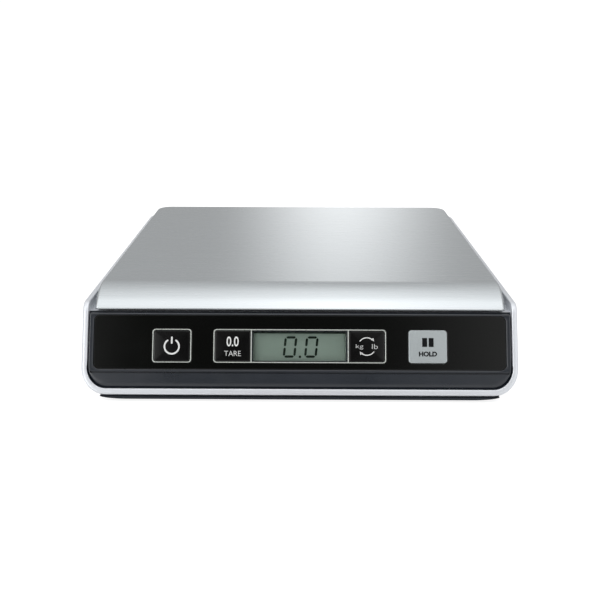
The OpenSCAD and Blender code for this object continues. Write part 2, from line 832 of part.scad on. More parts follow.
module usb_tongue() color("black") {
    block([usb_x - 3.45, back_y - plug_depth - 8.7, usb_z - 1.55],
        [usb_x + 3.45, back_y - plug_depth - 6.5, usb_z + 1.55]);
    block([usb_x - 2.2, back_y - plug_depth - 6.6, usb_z - 0.4],
        [usb_x + 2.2, back_y - plug_depth - 0.8, usb_z + 0.4]);
}

// Flat cable from the display board to the main board
module display_ribbon() color("lightgray") {
    t = 0.6;
    path = [[-97.4, 12.9], [-91, 12], [-86, 6.2], [42, 6.2], [50.5, 17.2], [53.9, 17.2]];
    lower = [for (p = path) [p[0], p[1] - t]];
    along_x(50, 62) polygon(concat(path, [for (i = [len(path) - 1:-1:0]) lower[i]]));
}

module load_cell_lead() color("dimgray") {
    route = [[7.6, 6, 18.4], [11, 9, 15], [17, 22, 9], [23, 36, 8], [27, 45, 12], [30, 51, 18],
        [31, 56, 18.4], [31, 61.9, 17.8]];
    tube(smooth_route(route, 4), 1.1);
}

module battery_leads() color("firebrick") {
    route = [[-45.4, 15, 10], [-38, 28, 7], [-18, 60, 6.2], [-2, 70, 7.5], [12, 72, 14.5],
        [22.4, 72, 17.4]];
    for (shift = [[0, 0, 0], [-1.4, 1.4, 0.9]])
        tube(smooth_route([for (p = route) p + shift], 4), 0.8);
}

// ---------- batteries ----------

bay_xs = [for (i = [-1:1]) bay_x + i * cell_pitch];
contact_t = 0.4;
cell_mid_z = bay_top - cell_r - 0.3;
cell_length = 44.5;

// Turns a battery's place end for end in every other channel
module each_channel() {
    mid = bay_y0 + bay_l / 2;
    for (i = [0:2])
        translate([bay_xs[i], mid, cell_mid_z]) rotate([0, 0, i == 1 ? 180 : 0]) children();
}

module batteries() color("royalblue") {
    nub = 1.2;
    each_channel() translate([0, bay_l / 2 - contact_t - cell_length, 0]) rotate([-90, 0, 0]) {
        cylinder(r = cell_r, h = cell_length - nub);
        cylinder(r = 1.9, h = cell_length);
    }
}

module battery_contacts() color("silver") {
    for (x = bay_xs, y = [bay_y0, bay_y0 + bay_l - contact_t])
        block([x - 4.2, y, cell_mid_z - 2.6], [x + 4.2, y + contact_t, cell_mid_z + 4.5]);
}

// Conical coil between a contact plate and the flat end of each battery
module battery_springs() color("silver") {
    turns = 4;
    steps = 14;
    length = bay_l - 2 * contact_t - cell_length - 0.8;
    coil = [
        for (i = [0:turns * steps])
            let (f = i / (turns * steps), a = 360 * i / steps, r = 3.6 - 1.4 * f)
            [r * cos(a), r * sin(a), 0.4 + length * f]
    ];
    each_channel() translate([0, -bay_l / 2 + contact_t, 0]) rotate([-90, 0, 0]) tube(coil, 0.35, 6);
}

// Door with two hinge tabs at its front and a latch at its back
module battery_door() color("darkslategray") {
    z0 = base_z + 0.1;
    y1 = door_y0 + door_l;
    difference() {
        union() {
            block([bay_x - door_w / 2, door_y0, z0], [bay_x + door_w / 2, y1, z0 + door_t]);
            for (side = [-1, 1]) {
                block([bay_x + side * tab_x - tab_w / 2, door_y0 + 1.8, z0],
                    [bay_x + side * tab_x + tab_w / 2, door_y0 + 3, tray_z + 1.3]);
                block([bay_x + side * tab_x - tab_w / 2, door_y0 - 3, tray_z + 0.2],
                    [bay_x + side * tab_x + tab_w / 2, door_y0 + 3, tray_z + 1.3]);
            }
            block([bay_x - 5, y1 - 2.2, z0], [bay_x + 5, y1 - 0.9, tray_z + 1.4]);
        }
        // finger recess beside the latch
        translate([bay_x, y1 - 8, z0 - 4.6]) rotate([0, 90, 0]) translate([0, 0, -6])
            cylinder(r = 5.4, h = 12);
    }
}

platform();
platform_pads();
platform_support();
top_spacer();
load_cell_top_screws();
load_cell();
gauge_potting();
base_spacer();
load_cell_base_screws();
overload_stops();
stop_locknuts();
upper_housing();
base_tray();
feet();
case_screws();
fascia_bezel();
bezel_screws();
fascia_panel();
display_frame();
power_ring();
power_button();
power_plunger();
tare_button();
tare_plunger();
unit_button();
unit_plunger();
hold_button();
hold_plunger();
display_window();
display_gasket();
lcd_glass();
lcd_holder();
lcd_reflector();
zebra_strips();
display_board();
display_board_screws();
tact_switches();
switch_domes();
main_board();
main_board_screws();
board_chips();
board_capacitors();
board_connectors();
usb_socket();
usb_tongue();
display_ribbon();
load_cell_lead();
battery_leads();
battery_contacts();
battery_springs();
batteries();
battery_door();
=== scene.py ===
"""Platform shipping scale: looks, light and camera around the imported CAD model."""
import json
import math

import bmesh
import bpy
from mathutils import Matrix, Vector


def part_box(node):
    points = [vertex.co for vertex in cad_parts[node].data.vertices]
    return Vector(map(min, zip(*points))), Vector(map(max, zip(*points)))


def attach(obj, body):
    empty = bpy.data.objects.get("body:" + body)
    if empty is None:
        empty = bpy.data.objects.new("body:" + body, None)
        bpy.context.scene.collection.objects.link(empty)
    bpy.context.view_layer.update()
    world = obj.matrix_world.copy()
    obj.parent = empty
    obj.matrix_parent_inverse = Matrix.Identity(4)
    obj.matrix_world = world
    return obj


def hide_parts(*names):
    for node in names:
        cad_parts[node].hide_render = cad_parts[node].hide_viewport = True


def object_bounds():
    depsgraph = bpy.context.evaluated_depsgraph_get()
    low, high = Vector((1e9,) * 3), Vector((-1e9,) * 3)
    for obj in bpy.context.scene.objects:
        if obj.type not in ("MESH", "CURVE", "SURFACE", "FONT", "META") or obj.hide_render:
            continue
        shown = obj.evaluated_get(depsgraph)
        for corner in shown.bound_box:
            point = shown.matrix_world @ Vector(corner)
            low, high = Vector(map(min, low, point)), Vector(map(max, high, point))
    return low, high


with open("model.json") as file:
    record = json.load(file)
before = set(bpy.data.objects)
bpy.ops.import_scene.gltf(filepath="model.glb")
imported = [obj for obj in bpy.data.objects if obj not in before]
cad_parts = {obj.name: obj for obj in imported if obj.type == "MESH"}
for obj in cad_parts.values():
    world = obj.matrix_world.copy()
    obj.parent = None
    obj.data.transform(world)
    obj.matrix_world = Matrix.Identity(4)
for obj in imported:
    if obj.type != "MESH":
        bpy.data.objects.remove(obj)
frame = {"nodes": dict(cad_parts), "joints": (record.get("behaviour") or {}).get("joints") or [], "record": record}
cad_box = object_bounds()

# ---------------------------------------------------------------- sizes
MM = 0.001
NODES = frame["nodes"]


def joint(name):
    """A joint's record by its name."""
    return next(j for j in frame["joints"] if j["name"] == name)


KEY_AXIS = joint("power_press")["axis"]
LEAN = math.atan2(-KEY_AXIS[2], KEY_AXIS[1])
SIN, COS = math.sin(LEAN), math.cos(LEAN)
FRONT_Y = cad_box[0].y
BASE_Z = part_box("base_tray")[0].z


def on_fascia(x, v, w):
    """Point on the leaning front: x across, v up the slope, w outwards, in metres."""
    return Vector((x, FRONT_Y + v * SIN - w * COS, BASE_Z + v * COS + w * SIN))


def fascia_xvw(point):
    """Fascia coordinates of a point in the frame."""
    y, z = point[1] - FRONT_Y, point[2] - BASE_Z
    return Vector((point[0], y * SIN + z * COS, z * SIN - y * COS))


def fascia_box(node):
    """Lowest and highest corner of a CAD node in fascia coordinates."""
    points = [fascia_xvw(v.co) for v in NODES[node].data.vertices]
    low = Vector([min(p[i] for p in points) for i in range(3)])
    high = Vector([max(p[i] for p in points) for i in range(3)])
    return low, high


# ---------------------------------------------------------------- materials
def new_material(name):
    """Empty principled material: (material, node tree, shader)."""
    m = bpy.data.materials.new(name)
    m.use_nodes = True
    tree = m.node_tree
    shader = tree.nodes["Principled BSDF"]
    return m, tree, shader


def link(tree, a, b):
    """Joins an output to an input."""
    tree.links.new(a, b)


def noise(tree, scale, detail=4.0, stretch=(1, 1, 1)):
    """Noise in the object's own space, in metres, stretched by axis."""
    where = tree.nodes.new("ShaderNodeTexCoord")
    mapping = tree.nodes.new("ShaderNodeMapping")
    mapping.inputs["Scale"].default_value = stretch
    link(tree, where.outputs["Object"], mapping.inputs["Vector"])
    tex = tree.nodes.new("ShaderNodeTexNoise")
    tex.inputs["Scale"].default_value = scale
    tex.inputs["Detail"].default_value = detail
    tex.inputs["Roughness"].default_value = 0.55
    link(tree, mapping.outputs["Vector"], tex.inputs["Vector"])
    return tex.outputs["Fac"]


def ramp(tree, source, low, high, dark, light):
    """Maps low..high of a value to two colours or two numbers."""
    node = tree.nodes.new("ShaderNodeMapRange")
    node.inputs["From Min"].default_value = low
    node.inputs["From Max"].default_value = high
    link(tree, source, node.inputs["Value"])
    if isinstance(dark, (int, float)):
        node.inputs["To Min"].default_value = dark
        node.inputs["To Max"].default_value = light
        return node.outputs["Result"]
    mix = tree.nodes.new("ShaderNodeMix")
    mix.data_type = "RGBA"
    mix.inputs["A"].default_value = (*dark, 1)
    mix.inputs["B"].default_value = (*light, 1)
    link(tree, node.outputs["Result"], mix.inputs["Factor"])
    return mix.outputs["Result"]


def bump(tree, shader, height, distance):
    """Raises the surface by a height pattern, as deep as the distance."""
    node = tree.nodes.new("ShaderNodeBump")
    node.inputs["Distance"].default_value = distance
    link(tree, height, node.inputs["Height"])
    link(tree, node.outputs["Normal"], shader.inputs["Normal"])


def plastic(name, dark, light, rough, grain=900, depth=0.00003, spread=0.08, specular=0.5):
    """Moulded plastic: slight colour drift, fine grain, varied roughness."""
    m, tree, shader = new_material(name)
    link(tree, ramp(tree, noise(tree, 35), 0.3, 0.7, dark, light), shader.inputs["Base Color"])
    fine = noise(tree, grain, 3)
    link(tree, ramp(tree, noise(tree, 60), 0.3, 0.7, rough - spread / 2, rough + spread / 2),
         shader.inputs["Roughness"])
    bump(tree, shader, fine, depth)
    shader.inputs["Specular IOR Level"].default_value = specular
    return m


def metal(name, dark, light, rough, stretch, scale=300, depth=0.000004, metallic=1.0, spread=0.1):
    """Metal with grain drawn out along the axis whose stretch is small."""
    m, tree, shader = new_material(name)
    shader.inputs["Metallic"].default_value = metallic
    grain = noise(tree, scale, 5, stretch)
    link(tree, ramp(tree, grain, 0.3, 0.7, dark, light), shader.inputs["Base Color"])
    link(tree, ramp(tree, grain, 0.3, 0.7, rough - spread / 2, rough + spread / 2),
         shader.inputs["Roughness"])
    bump(tree, shader, grain, depth)
    return m


def grey(level):
    """Neutral colour of a level."""
    return (level, level, level)


def stainless_sheet():
    """Satin stainless steel, brushed across the platform."""
    m = metal("stainless", (0.61, 0.645, 0.665), (0.64, 0.675, 0.695), 0.26, (0.02, 1, 1), 2500,
              0.000001, spread=0.04)
    shader = m.node_tree.nodes["Principled BSDF"]
    shader.inputs["Anisotropic"].default_value = 0.3
    tangent = m.node_tree.nodes.new("ShaderNodeTangent")
    tangent.direction_type = "UV_MAP"
    link(m.node_tree, tangent.outputs["Tangent"], shader.inputs["Tangent"])
    return m


def clear_window():
    """Thin clear acrylic."""
    m, tree, shader = new_material("window_clear")
    shader.inputs["Base Color"].default_value = (0.95, 0.98, 0.96, 1)
    shader.inputs["Transmission Weight"].default_value = 1.0
    shader.inputs["IOR"].default_value = 1.2
    link(tree, ramp(tree, noise(tree, 40), 0.3, 0.7, 0.01, 0.03), shader.inputs["Roughness"])
    return m


def build_materials():
    """Every material slot's finish, by the record's slot name."""
    return {
        "stainless": stainless_sheet(),
        "silver_paint": metal("silver_paint", (0.78, 0.805, 0.845), (0.82, 0.845, 0.885), 0.36,
                              (1, 1, 1), 1500, 0.000004, metallic=0.5),
        "base_plastic": plastic("base_plastic", (0.009, 0.012, 0.018), (0.012, 0.016, 0.022), 0.5,
                                specular=0.3),
        "bezel_plastic": plastic("bezel_plastic", (0.008, 0.012, 0.018), (0.012, 0.016, 0.024),
                                 0.3, 1400, 0.000006, specular=0.8),
        "black_gloss": plastic("black_gloss", (0.0008, 0.001, 0.0008), (0.0014, 0.0018, 0.0013),
                               0.12, 200, 0.0000005, 0.03),
        "chrome": metal("chrome", (0.62, 0.65, 0.61), (0.68, 0.71, 0.67), 0.3, (1, 1, 1), 900),
        "key_black": plastic("key_black", grey(0.0015), grey(0.0025), 0.18, 1200, 0.000003),
        "key_silver": metal("key_silver", (0.46, 0.50, 0.51), (0.50, 0.545, 0.555), 0.42,
                            (1, 1, 1), 1800, 0.000003, metallic=0.6),
        "window_clear": clear_window(),
        "black_foam": plastic("black_foam", grey(0.012), grey(0.02), 0.9, 2500, 0.0001),
        "lcd_glass": plastic("lcd_glass", (0.245, 0.307, 0.268), (0.257, 0.32, 0.28), 0.5,
                             400, 0.000001),
        "white_plastic": plastic("white_plastic", (0.74, 0.74, 0.71), (0.80, 0.80, 0.77), 0.45),
        "white_silicone": plastic("white_silicone", (0.78, 0.78, 0.75), (0.85, 0.85, 0.82), 0.6, 200,
                                  0.0001),
        "soft_rubber": plastic("soft_rubber", grey(0.012), grey(0.02), 0.75, 1800, 0.00005),
        "zebra_rubber": plastic("zebra_rubber", grey(0.06), grey(0.12), 0.7, 1800),
        "grey_abs": plastic("grey_abs", (0.045, 0.048, 0.052), (0.055, 0.059, 0.063), 0.55),
        "zinc_steel": metal("zinc_steel", (0.52, 0.53, 0.50), (0.62, 0.63, 0.60), 0.35, (1, 1, 1)),
        "socket_steel": metal("socket_steel", grey(0.55), grey(0.64), 0.3, (1, 1, 0.2)),
        "contact_nickel": metal("contact_nickel", (0.60, 0.58, 0.52), (0.68, 0.66, 0.60), 0.28,
                                (1, 1, 0.2)),
        "aluminium": metal("aluminium", (0.66, 0.67, 0.68), (0.76, 0.77, 0.78), 0.38, (1, 0.05, 1),
                           900, 0.000006),
        "board_green": plastic("board_green", (0.008, 0.075, 0.030), (0.014, 0.10, 0.042), 0.3, 500,
                               0.00001),
        "chip_black": plastic("chip_black", grey(0.014), grey(0.022), 0.5, 2200, 0.00004),
        "switch_black": plastic("switch_black", grey(0.016), grey(0.024), 0.42),
        "capacitor_sleeve": plastic("capacitor_sleeve", (0.010, 0.020, 0.085), (0.015, 0.028, 0.11),
                                    0.25),
        "cable_grey": plastic("cable_grey", grey(0.16), grey(0.20), 0.5),
        "cable_red": plastic("cable_red", (0.26, 0.010, 0.010), (0.32, 0.016, 0.014), 0.45),
        "battery_sleeve": plastic("battery_sleeve", (0.020, 0.045, 0.16), (0.028, 0.058, 0.20), 0.22),
    }


MATERIALS = build_materials()
SLOT_OF = {s["node"]: s["material_slot"] for s in frame["record"]["subparts"]}


def dress_cad_nodes():
    """Every CAD node gets the material of its slot."""
    for name, obj in NODES.items():
        obj.data.materials.clear()
        obj.data.materials.append(MATERIALS[SLOT_OF[name]])


# ---------------------------------------------------------------- mesh helpers
def add_piece(name, mesh, body, slot, *stands_for, smooth_angle=40):
    """Puts a finished mesh in the scene on a CAD body, with its slot's material."""
    obj = bpy.data.objects.new(name, mesh)
    bpy.context.scene.collection.objects.link(obj)
    mesh.materials.append(MATERIALS[slot])
    for polygon in mesh.polygons:
        polygon.use_smooth = True
    sharpen(mesh, smooth_angle)
    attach(obj, body)
    if stands_for:
        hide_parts(*stands_for)
    return obj


def sharpen(mesh, angle):
    """Marks edges sharper than an angle, so that smooth shading stops there."""
    work = bmesh.new()
    work.from_mesh(mesh)
    for edge in work.edges:
        edge.smooth = len(edge.link_faces) != 2 or edge.calc_face_angle(0) < math.radians(angle)
    work.to_mesh(mesh)
    work.free()


def rounded_loop(cx, cv, width, height, radius, steps=8):
    """Points (x, v) of a rounded rectangle, counter-clockwise."""
    radius = max(radius, 1e-6)
    points = []
    corners = [(1, 1, 0), (-1, 1, 90), (-1, -1, 180), (1, -1, 270)]
    for sx, sy, start in corners:
        ox, oy = cx + sx * (width / 2 - radius), cv + sy * (height / 2 - radius)
        for k in range(steps + 1):
            a = math.radians(start + 90 * k / steps)
            points.append((ox + radius * math.cos(a), oy + radius * math.sin(a)))
    return points


def fascia_ring(cx, cv, width, height, radius, depth, steps=8):
    """A rounded rectangle placed on the fascia at one depth."""
    return [on_fascia(x, v, depth) for x, v in rounded_loop(cx, cv, width, height, radius, steps)]


def finished(work, name):
    """Mesh of a bmesh, which is freed."""
    mesh = bpy.data.meshes.new(name)
    work.to_mesh(mesh)
    work.free()
    return mesh


def join_rings(work, rows):
    """Faces between neighbouring closed rings of vertices."""
    count = len(rows[0])
    for a, b in zip(rows, rows[1:]):
        for k in range(count):
            n = (k + 1) % count
            work.faces.new((a[k], a[n], b[n], b[k]))


def join_rows(work, rows):
    """Faces between neighbouring open rows of vertices."""
    for a, b in zip(rows, rows[1:]):
        for k in range(len(a) - 1):
            work.faces.new((a[k], a[k + 1], b[k + 1], b[k]))


def loft(name, rings, capped=False):
    """Mesh through closed rings of equal count; each end can be closed by one face."""
    work = bmesh.new()
    rows = [[work.verts.new(p) for p in ring] for ring in rings]
    join_rings(work, rows)
    if capped:
        work.faces.new(list(reversed(rows[0])))
        work.faces.new(rows[-1])
    bmesh.ops.recalc_face_normals(work, faces=work.faces)
    return finished(work, name)


def edge_round(radius, steps=3):
    """Insets and drops of a rounded edge, from the wall to the face."""
    turns = [math.pi / 2 * k / steps for k in range(steps + 1)]
    return [(radius * (1 - math.cos(t)), radius * (1 - math.sin(t))) for t in turns]


def cad_copy(node):
    """The CAD node's mesh as a welded bmesh with flat areas joined up."""
    work = bmesh.new()
    work.from_mesh(NODES[node].data)
    bmesh.ops.remove_doubles(work, verts=work.verts, dist=0.5e-6)
    bmesh.ops.dissolve_limit(work, angle_limit=math.radians(0.3), verts=work.verts, edges=work.edges,
                             delimit={"NORMAL"})
    return work


def weight_normals(obj):
    """Lets a piece's large faces shade flat."""
    normals = obj.modifiers.new("normals", "WEIGHTED_NORMAL")
    normals.keep_sharp = True


def soften(node, body, width):
    """Replaces a CAD node by a copy whose outer edges are rounded by a bevel."""
    sharp = 32
    work = cad_copy(node)
    layer = work.edges.layers.float.new("bevel_weight_edge")
    for edge in work.edges:
        if edge.is_convex and edge.calc_face_angle(0) > math.radians(sharp):
            edge[layer] = 1.0
    name = node + "_soft"
    obj = add_piece(name, finished(work, name), body, SLOT_OF[node], node, smooth_angle=sharp)
    bevel = obj.modifiers.new("edges", "BEVEL")
    bevel.limit_method = "WEIGHT"
    bevel.width = width
    bevel.segments = 3
    bevel.use_clamp_overlap = False
    bevel.harden_normals = False
    weight_normals(obj)


def mirrored(point):
    """The point on the other side of the scale's middle."""
    return Vector((-point.x, point.y, point.z))


# ---------------------------------------------------------------- platform
ROLL_R, ROLL_STEPS = 24.8 * MM, 26
SHEET_T, SHEET_BEND = 0.8 * MM, 1.4 * MM
SKIRT, HEM_R = 7.5 * MM, 0.45 * MM
PLATE_CORNER, PLATE_CORNER_STEPS = 9 * MM, 12
X_AXIS, DOWN = Vector((1, 0, 0)), Vector((0, 0, -1))


def fold_stations(low, high, roll_end, crease):
    """The sheet's edge, up the rolled left side, round the back and down the rolled right side.

    Each station is a place, the direction across the sheet, the fold's direction and its depth."""
    half = high.x
    stations = []
    for k in range(ROLL_STEPS, 0, -1):
        t = roll_end * k / ROLL_STEPS
        place = Vector((-half, crease - ROLL_R * math.sin(t), high.z - ROLL_R * (1 - math.cos(t))))
        deep = min(SKIRT, (place.z - low.z) / math.cos(t))
        stations.append((place, X_AXIS, Vector((0, math.sin(t), -math.cos(t))), deep))
    for y in (crease, high.y - PLATE_CORNER):
        stations.append((Vector((-half, y, high.z)), X_AXIS, DOWN, SKIRT))
    centre = Vector((-half + PLATE_CORNER, high.y - PLATE_CORNER, high.z))
    for k in range(1, PLATE_CORNER_STEPS + 1):
        a = math.pi - math.pi / 2 * k / PLATE_CORNER_STEPS
        inward = Vector((-math.cos(a), -math.sin(a), 0))
        stations.append((centre - inward * PLATE_CORNER, inward, DOWN, SKIRT))
    other_side = [(mirrored(place), mirrored(inward), drop, deep)
                  for place, inward, drop, deep in reversed(stations)]
    return stations + other_side


def folded_sides(work, stations):
    """The bend and the skirt at every station, as rows of vertices from the top outwards."""
    bend_steps = 6
    rows = []
    for place, inward, drop, deep in stations:
        row = []
        radius = min(SHEET_BEND, deep * 0.98)
        for k in range(bend_steps + 1):
            a = math.pi / 2 * k / bend_steps
            row.append(work.verts.new(place + inward * SHEET_BEND * (1 - math.sin(a))
                                      + drop * radius * (1 - math.cos(a))))
        row.append(work.verts.new(place + drop * max(deep, radius * 1.001)))
        rows.append(row)
    join_rows(work, rows)
    return rows


def hem(work, left, right, roll_end):
    """Small curl under the lip, from the front edge's two end vertices."""
    steps, curl = 10, math.radians(150)
    centre_y = left.co.y + math.sin(roll_end) * HEM_R
    centre_z = left.co.z - math.cos(roll_end) * HEM_R
    last = (left, right)
    for k in range(1, steps + 1):
        t = roll_end + curl * k / steps
        y, z = centre_y - HEM_R * math.sin(t), centre_z + HEM_R * math.cos(t)
        pair = [work.verts.new((v.co.x, y, z)) for v in (left, right)]
        work.faces.new((last[0], last[1], pair[1], pair[0]))
        last = pair


def brushing_map(work):
    """A map whose U runs along the depth, the way that the brushing spreads highlights."""
    uv = work.loops.layers.uv.new("brushing")
    for face in work.faces:
        for loop in face.loops:
            co = loop.vert.co
            loop[uv].uv = (co.y * 4 - co.z * 2 + 0.5, co.x * 4 + 0.5)


def stainless_platform():
    """Folded sheet: flat top, bent sides and back, and a front rolled down to a small hem."""
    low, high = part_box("platform")
    full_roll = math.acos(1 - (high.z - low.z) / ROLL_R)
    roll_end = full_roll - math.radians(2.5)
    crease = low.y + ROLL_R * math.sin(full_roll)
    work = bmesh.new()
    rows = folded_sides(work, fold_stations(low, high, roll_end, crease))
    edge = [row[0] for row in rows]
    for k in range(ROLL_STEPS):
        work.faces.new((edge[k], edge[k + 1], edge[-2 - k], edge[-1 - k]))
    work.faces.new(edge[ROLL_STEPS:len(edge) - ROLL_STEPS])
    hem(work, edge[0], edge[-1], roll_end)
    bmesh.ops.recalc_face_normals(work, faces=work.faces)
    if max(work.faces, key=lambda f: f.calc_area()).normal.z < 0:
        bmesh.ops.reverse_faces(work, faces=work.faces)
    brushing_map(work)
    obj = add_piece("platform_sheet", finished(work, "platform_sheet"), "platform", "stainless",
                    "platform", smooth_angle=60)
    solid = obj.modifiers.new("sheet", "SOLIDIFY")
    solid.thickness = SHEET_T
    solid.offset = -1
    weight_normals(obj)


# ---------------------------------------------------------------- shells
HOUSING_LOW, HOUSING_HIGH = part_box("upper_housing")
RIM_Z, SHELL_Z = HOUSING_HIGH.z, HOUSING_LOW.z
HALF_W, BACK_Y = HOUSING_HIGH.x, HOUSING_HIGH.y
WALL, LIP_T = 2.9 * MM, 3.3 * MM
SIDE_R, RIM_R = 12.5 * MM, 6 * MM
BACK_RX, BACK_RY = 10.6 * MM, 11 * MM
FOOT_CUT = 3 * MM
DECK_TOP = 40.2 * MM
CORNER_STEPS = 12
NEAR = 0.03 * MM


def front_edge(z):
    """Y of the leaning front at a height."""
    return FRONT_Y + (z - BASE_Z) * SIN / COS


def side_reach(z):
    """Half width of the shell at a height."""
    up = z - SHELL_Z
    if up >= SIDE_R:
        return HALF_W
    return HALF_W - SIDE_R + math.sqrt(max(0.0, SIDE_R ** 2 - (SIDE_R - up) ** 2))


def corner_point(z, angle):
    """Point of the shell's left back corner at a height; the angle runs from the side to the back."""
    x = min(side_reach(z), HALF_W - BACK_RX + BACK_RX * math.cos(angle))
    y = min(BACK_Y - max(0.0, FOOT_CUT - (z - SHELL_Z)), BACK_Y - BACK_RY + BACK_RY * math.sin(angle))
    return Vector((-x, y, z))


def rim_stations():
    """Half of the shell's edge, from the middle of the back to the middle of the front lip.

    Each station is a point on the outer edge, the direction across the wall, the direction into the
    piece, the radius of the outer rounding and the wall's thickness."""
    rim_round, lip_round = 0.8 * MM, 1.35 * MM
    stations = [(Vector((0, BACK_Y, RIM_Z)), Vector((0, -1, 0)), DOWN, rim_round, WALL)]
    for k in range(CORNER_STEPS + 1):
        a = math.pi / 2 * (1 - k / CORNER_STEPS)
        normal = Vector((math.cos(a) / BACK_RX, -math.sin(a) / BACK_RY, 0)).normalized()
        stations.append((corner_point(RIM_Z, a), normal, DOWN, rim_round, WALL))
    rim_y = front_edge(RIM_Z - RIM_R) + RIM_R / COS
    arc_steps = 10
    for k in range(arc_steps + 1):
        a = math.pi / 2 + (math.pi / 2 - LEAN) * k / arc_steps
        out = Vector((0, math.cos(a), math.sin(a)))
        centre = Vector((-HALF_W, rim_y, RIM_Z - RIM_R))
        outer_r = rim_round + (lip_round - rim_round) * k / arc_steps
        stations.append((centre + out * RIM_R, X_AXIS, -out, outer_r, WALL))
    tangent = Vector((0, COS, -SIN))
    top_z, low_z = RIM_Z - RIM_R + RIM_R * SIN, SHELL_Z + SIDE_R
    for k in range(1, 5):
        z = top_z + (low_z - top_z) * k / 4
        into = tangent.lerp(Vector((0, 1, 0)), k / 4)
        stations.append((Vector((-HALF_W, front_edge(z), z)), X_AXIS, into, lip_round, WALL))
    corner_steps = 14
    for k in range(1, corner_steps + 1):
        a = math.pi + math.pi / 2 * k / corner_steps
        x = -HALF_W + SIDE_R + SIDE_R * math.cos(a)
        z = SHELL_Z + SIDE_R + SIDE_R * math.sin(a)
        inward = Vector((-math.cos(a), -math.sin(a) * SIN / COS, -math.sin(a)))
        wall = WALL - (LIP_T - WALL) * math.sin(a)
        stations.append((Vector((x, front_edge(z), z)), inward, Vector((0, 1, 0)), lip_round, wall))
    for x in (-HALF_W / 2, 0.0):
        stations.append((Vector((x, front_edge(SHELL_Z), SHELL_Z)), Vector((0, SIN / COS, 1)),
                         Vector((0, 1, 0)), lip_round, LIP_T))
    return stations


def band_profile(outer_r, wall):
    """Steps across the wall and into the piece: rounded outer edge, face, rounded inner edge."""
    steps, inner_r, depth = 6, 0.6 * MM, 6 * MM
    turns = [math.pi / 2 * k / steps for k in range(steps + 1)]
    points = [(outer_r * (1 - math.cos(a)), outer_r * (1 - math.sin(a))) for a in turns]
    points += [(wall - inner_r * (1 - math.sin(a)), inner_r * (1 - math.cos(a))) for a in turns]
    points.append((wall, depth))
    return points


def shell_band(work, stations):
    """The shell's rounded edge all the way round; returns the rows of its left half.

    Its inner side stays just behind the CAD's inside, which is dark as painted shade."""
    rows = []
    for point, inward, into, outer_r, wall in stations:
        profile = band_profile(outer_r, wall - NEAR)
        rows.append([point + inward * across + into * depth for across, depth in profile])
    full = rows + [[mirrored(p) for p in row] for row in reversed(rows[1:-1])]
    verts = [[work.verts.new(p) for p in row] for row in full]
    join_rows(work, verts + verts[:1])
    return rows


def shell_skin(work, starts):
    """Outer walls: a row from each place on the front edge, back and round to the middle."""
    lines = []
    for start in starts:
        line = [start]
        line += [corner_point(start.z, math.pi / 2 * k / CORNER_STEPS) for k in range(CORNER_STEPS + 1)]
        line.append(Vector((0, line[-1].y, start.z)))
        lines.append(line)
    join_rows(work, [[work.verts.new(p) for p in line] for line in lines])
    join_rows(work, [[work.verts.new(mirrored(p)) for p in line] for line in lines])


def shell_bottom(work, lip_y):
    """Flat bottom around the opening that the base closes."""
    opening_y0, opening_y1, opening_w = FRONT_Y + 16 * MM, BACK_Y - 10 * MM, 180 * MM
    back = BACK_Y - FOOT_CUT
    outer = rounded_loop(0, (lip_y + back) / 2, 2 * (HALF_W - SIDE_R), back - lip_y, 0.01 * MM)
    inner = rounded_loop(0, (opening_y0 + opening_y1) / 2, opening_w, opening_y1 - opening_y0, 6 * MM)
    join_rings(work, [[work.verts.new((x, y, SHELL_Z)) for x, y in loop] for loop in (outer, inner)])


def open_plug_pocket(work):
    """Cuts the outer skin away over the plug's pocket in the back wall."""
    border = [v.co for v in NODES["upper_housing"].data.vertices
              if v.co.y > BACK_Y - NEAR and abs(v.co.x) < HALF_W - BACK_RX - NEAR
              and SHELL_Z + FOOT_CUT + NEAR < v.co.z < RIM_Z - NEAR]
    left, right, low, high = [pick(co[axis] for co in border) for axis in (0, 2) for pick in (min, max)]
    for axis, value in ((0, left), (0, right), (2, low), (2, high)):
        place, normal = Vector((0, 0, 0)), Vector((0, 0, 0))
        place[axis], normal[axis] = value, 1
        back = [f for f in work.faces if f.calc_center_median().y > BACK_Y - NEAR]
        edges = {e for f in back for e in f.edges}
        verts = {v for f in back for v in f.verts}
        bmesh.ops.bisect_plane(work, geom=back + list(edges) + list(verts), plane_co=place, plane_no=normal)
    covered = []
    for face in work.faces:
        c = face.calc_center_median()
        if c.y > BACK_Y - NEAR and left < c.x < right and low < c.z < high:
            covered.append(face)
    bmesh.ops.delete(work, geom=covered, context="FACES")


def silver_shell():
    """Painted outside of the shell, with a rounded lip and rims."""
    work = bmesh.new()
    rows = shell_band(work, rim_stations())
    first_on_front = CORNER_STEPS + 2
    shell_skin(work, [row[0] for row in rows[first_on_front:-2]])
    shell_bottom(work, rows[-1][0].y)
    bmesh.ops.remove_doubles(work, verts=work.verts, dist=2e-6)
    open_plug_pocket(work)
    bmesh.ops.recalc_face_normals(work, faces=work.faces)
    add_piece("silver_shell", finished(work, "silver_shell"), "base", "silver_paint", "upper_housing",
              smooth_angle=50)


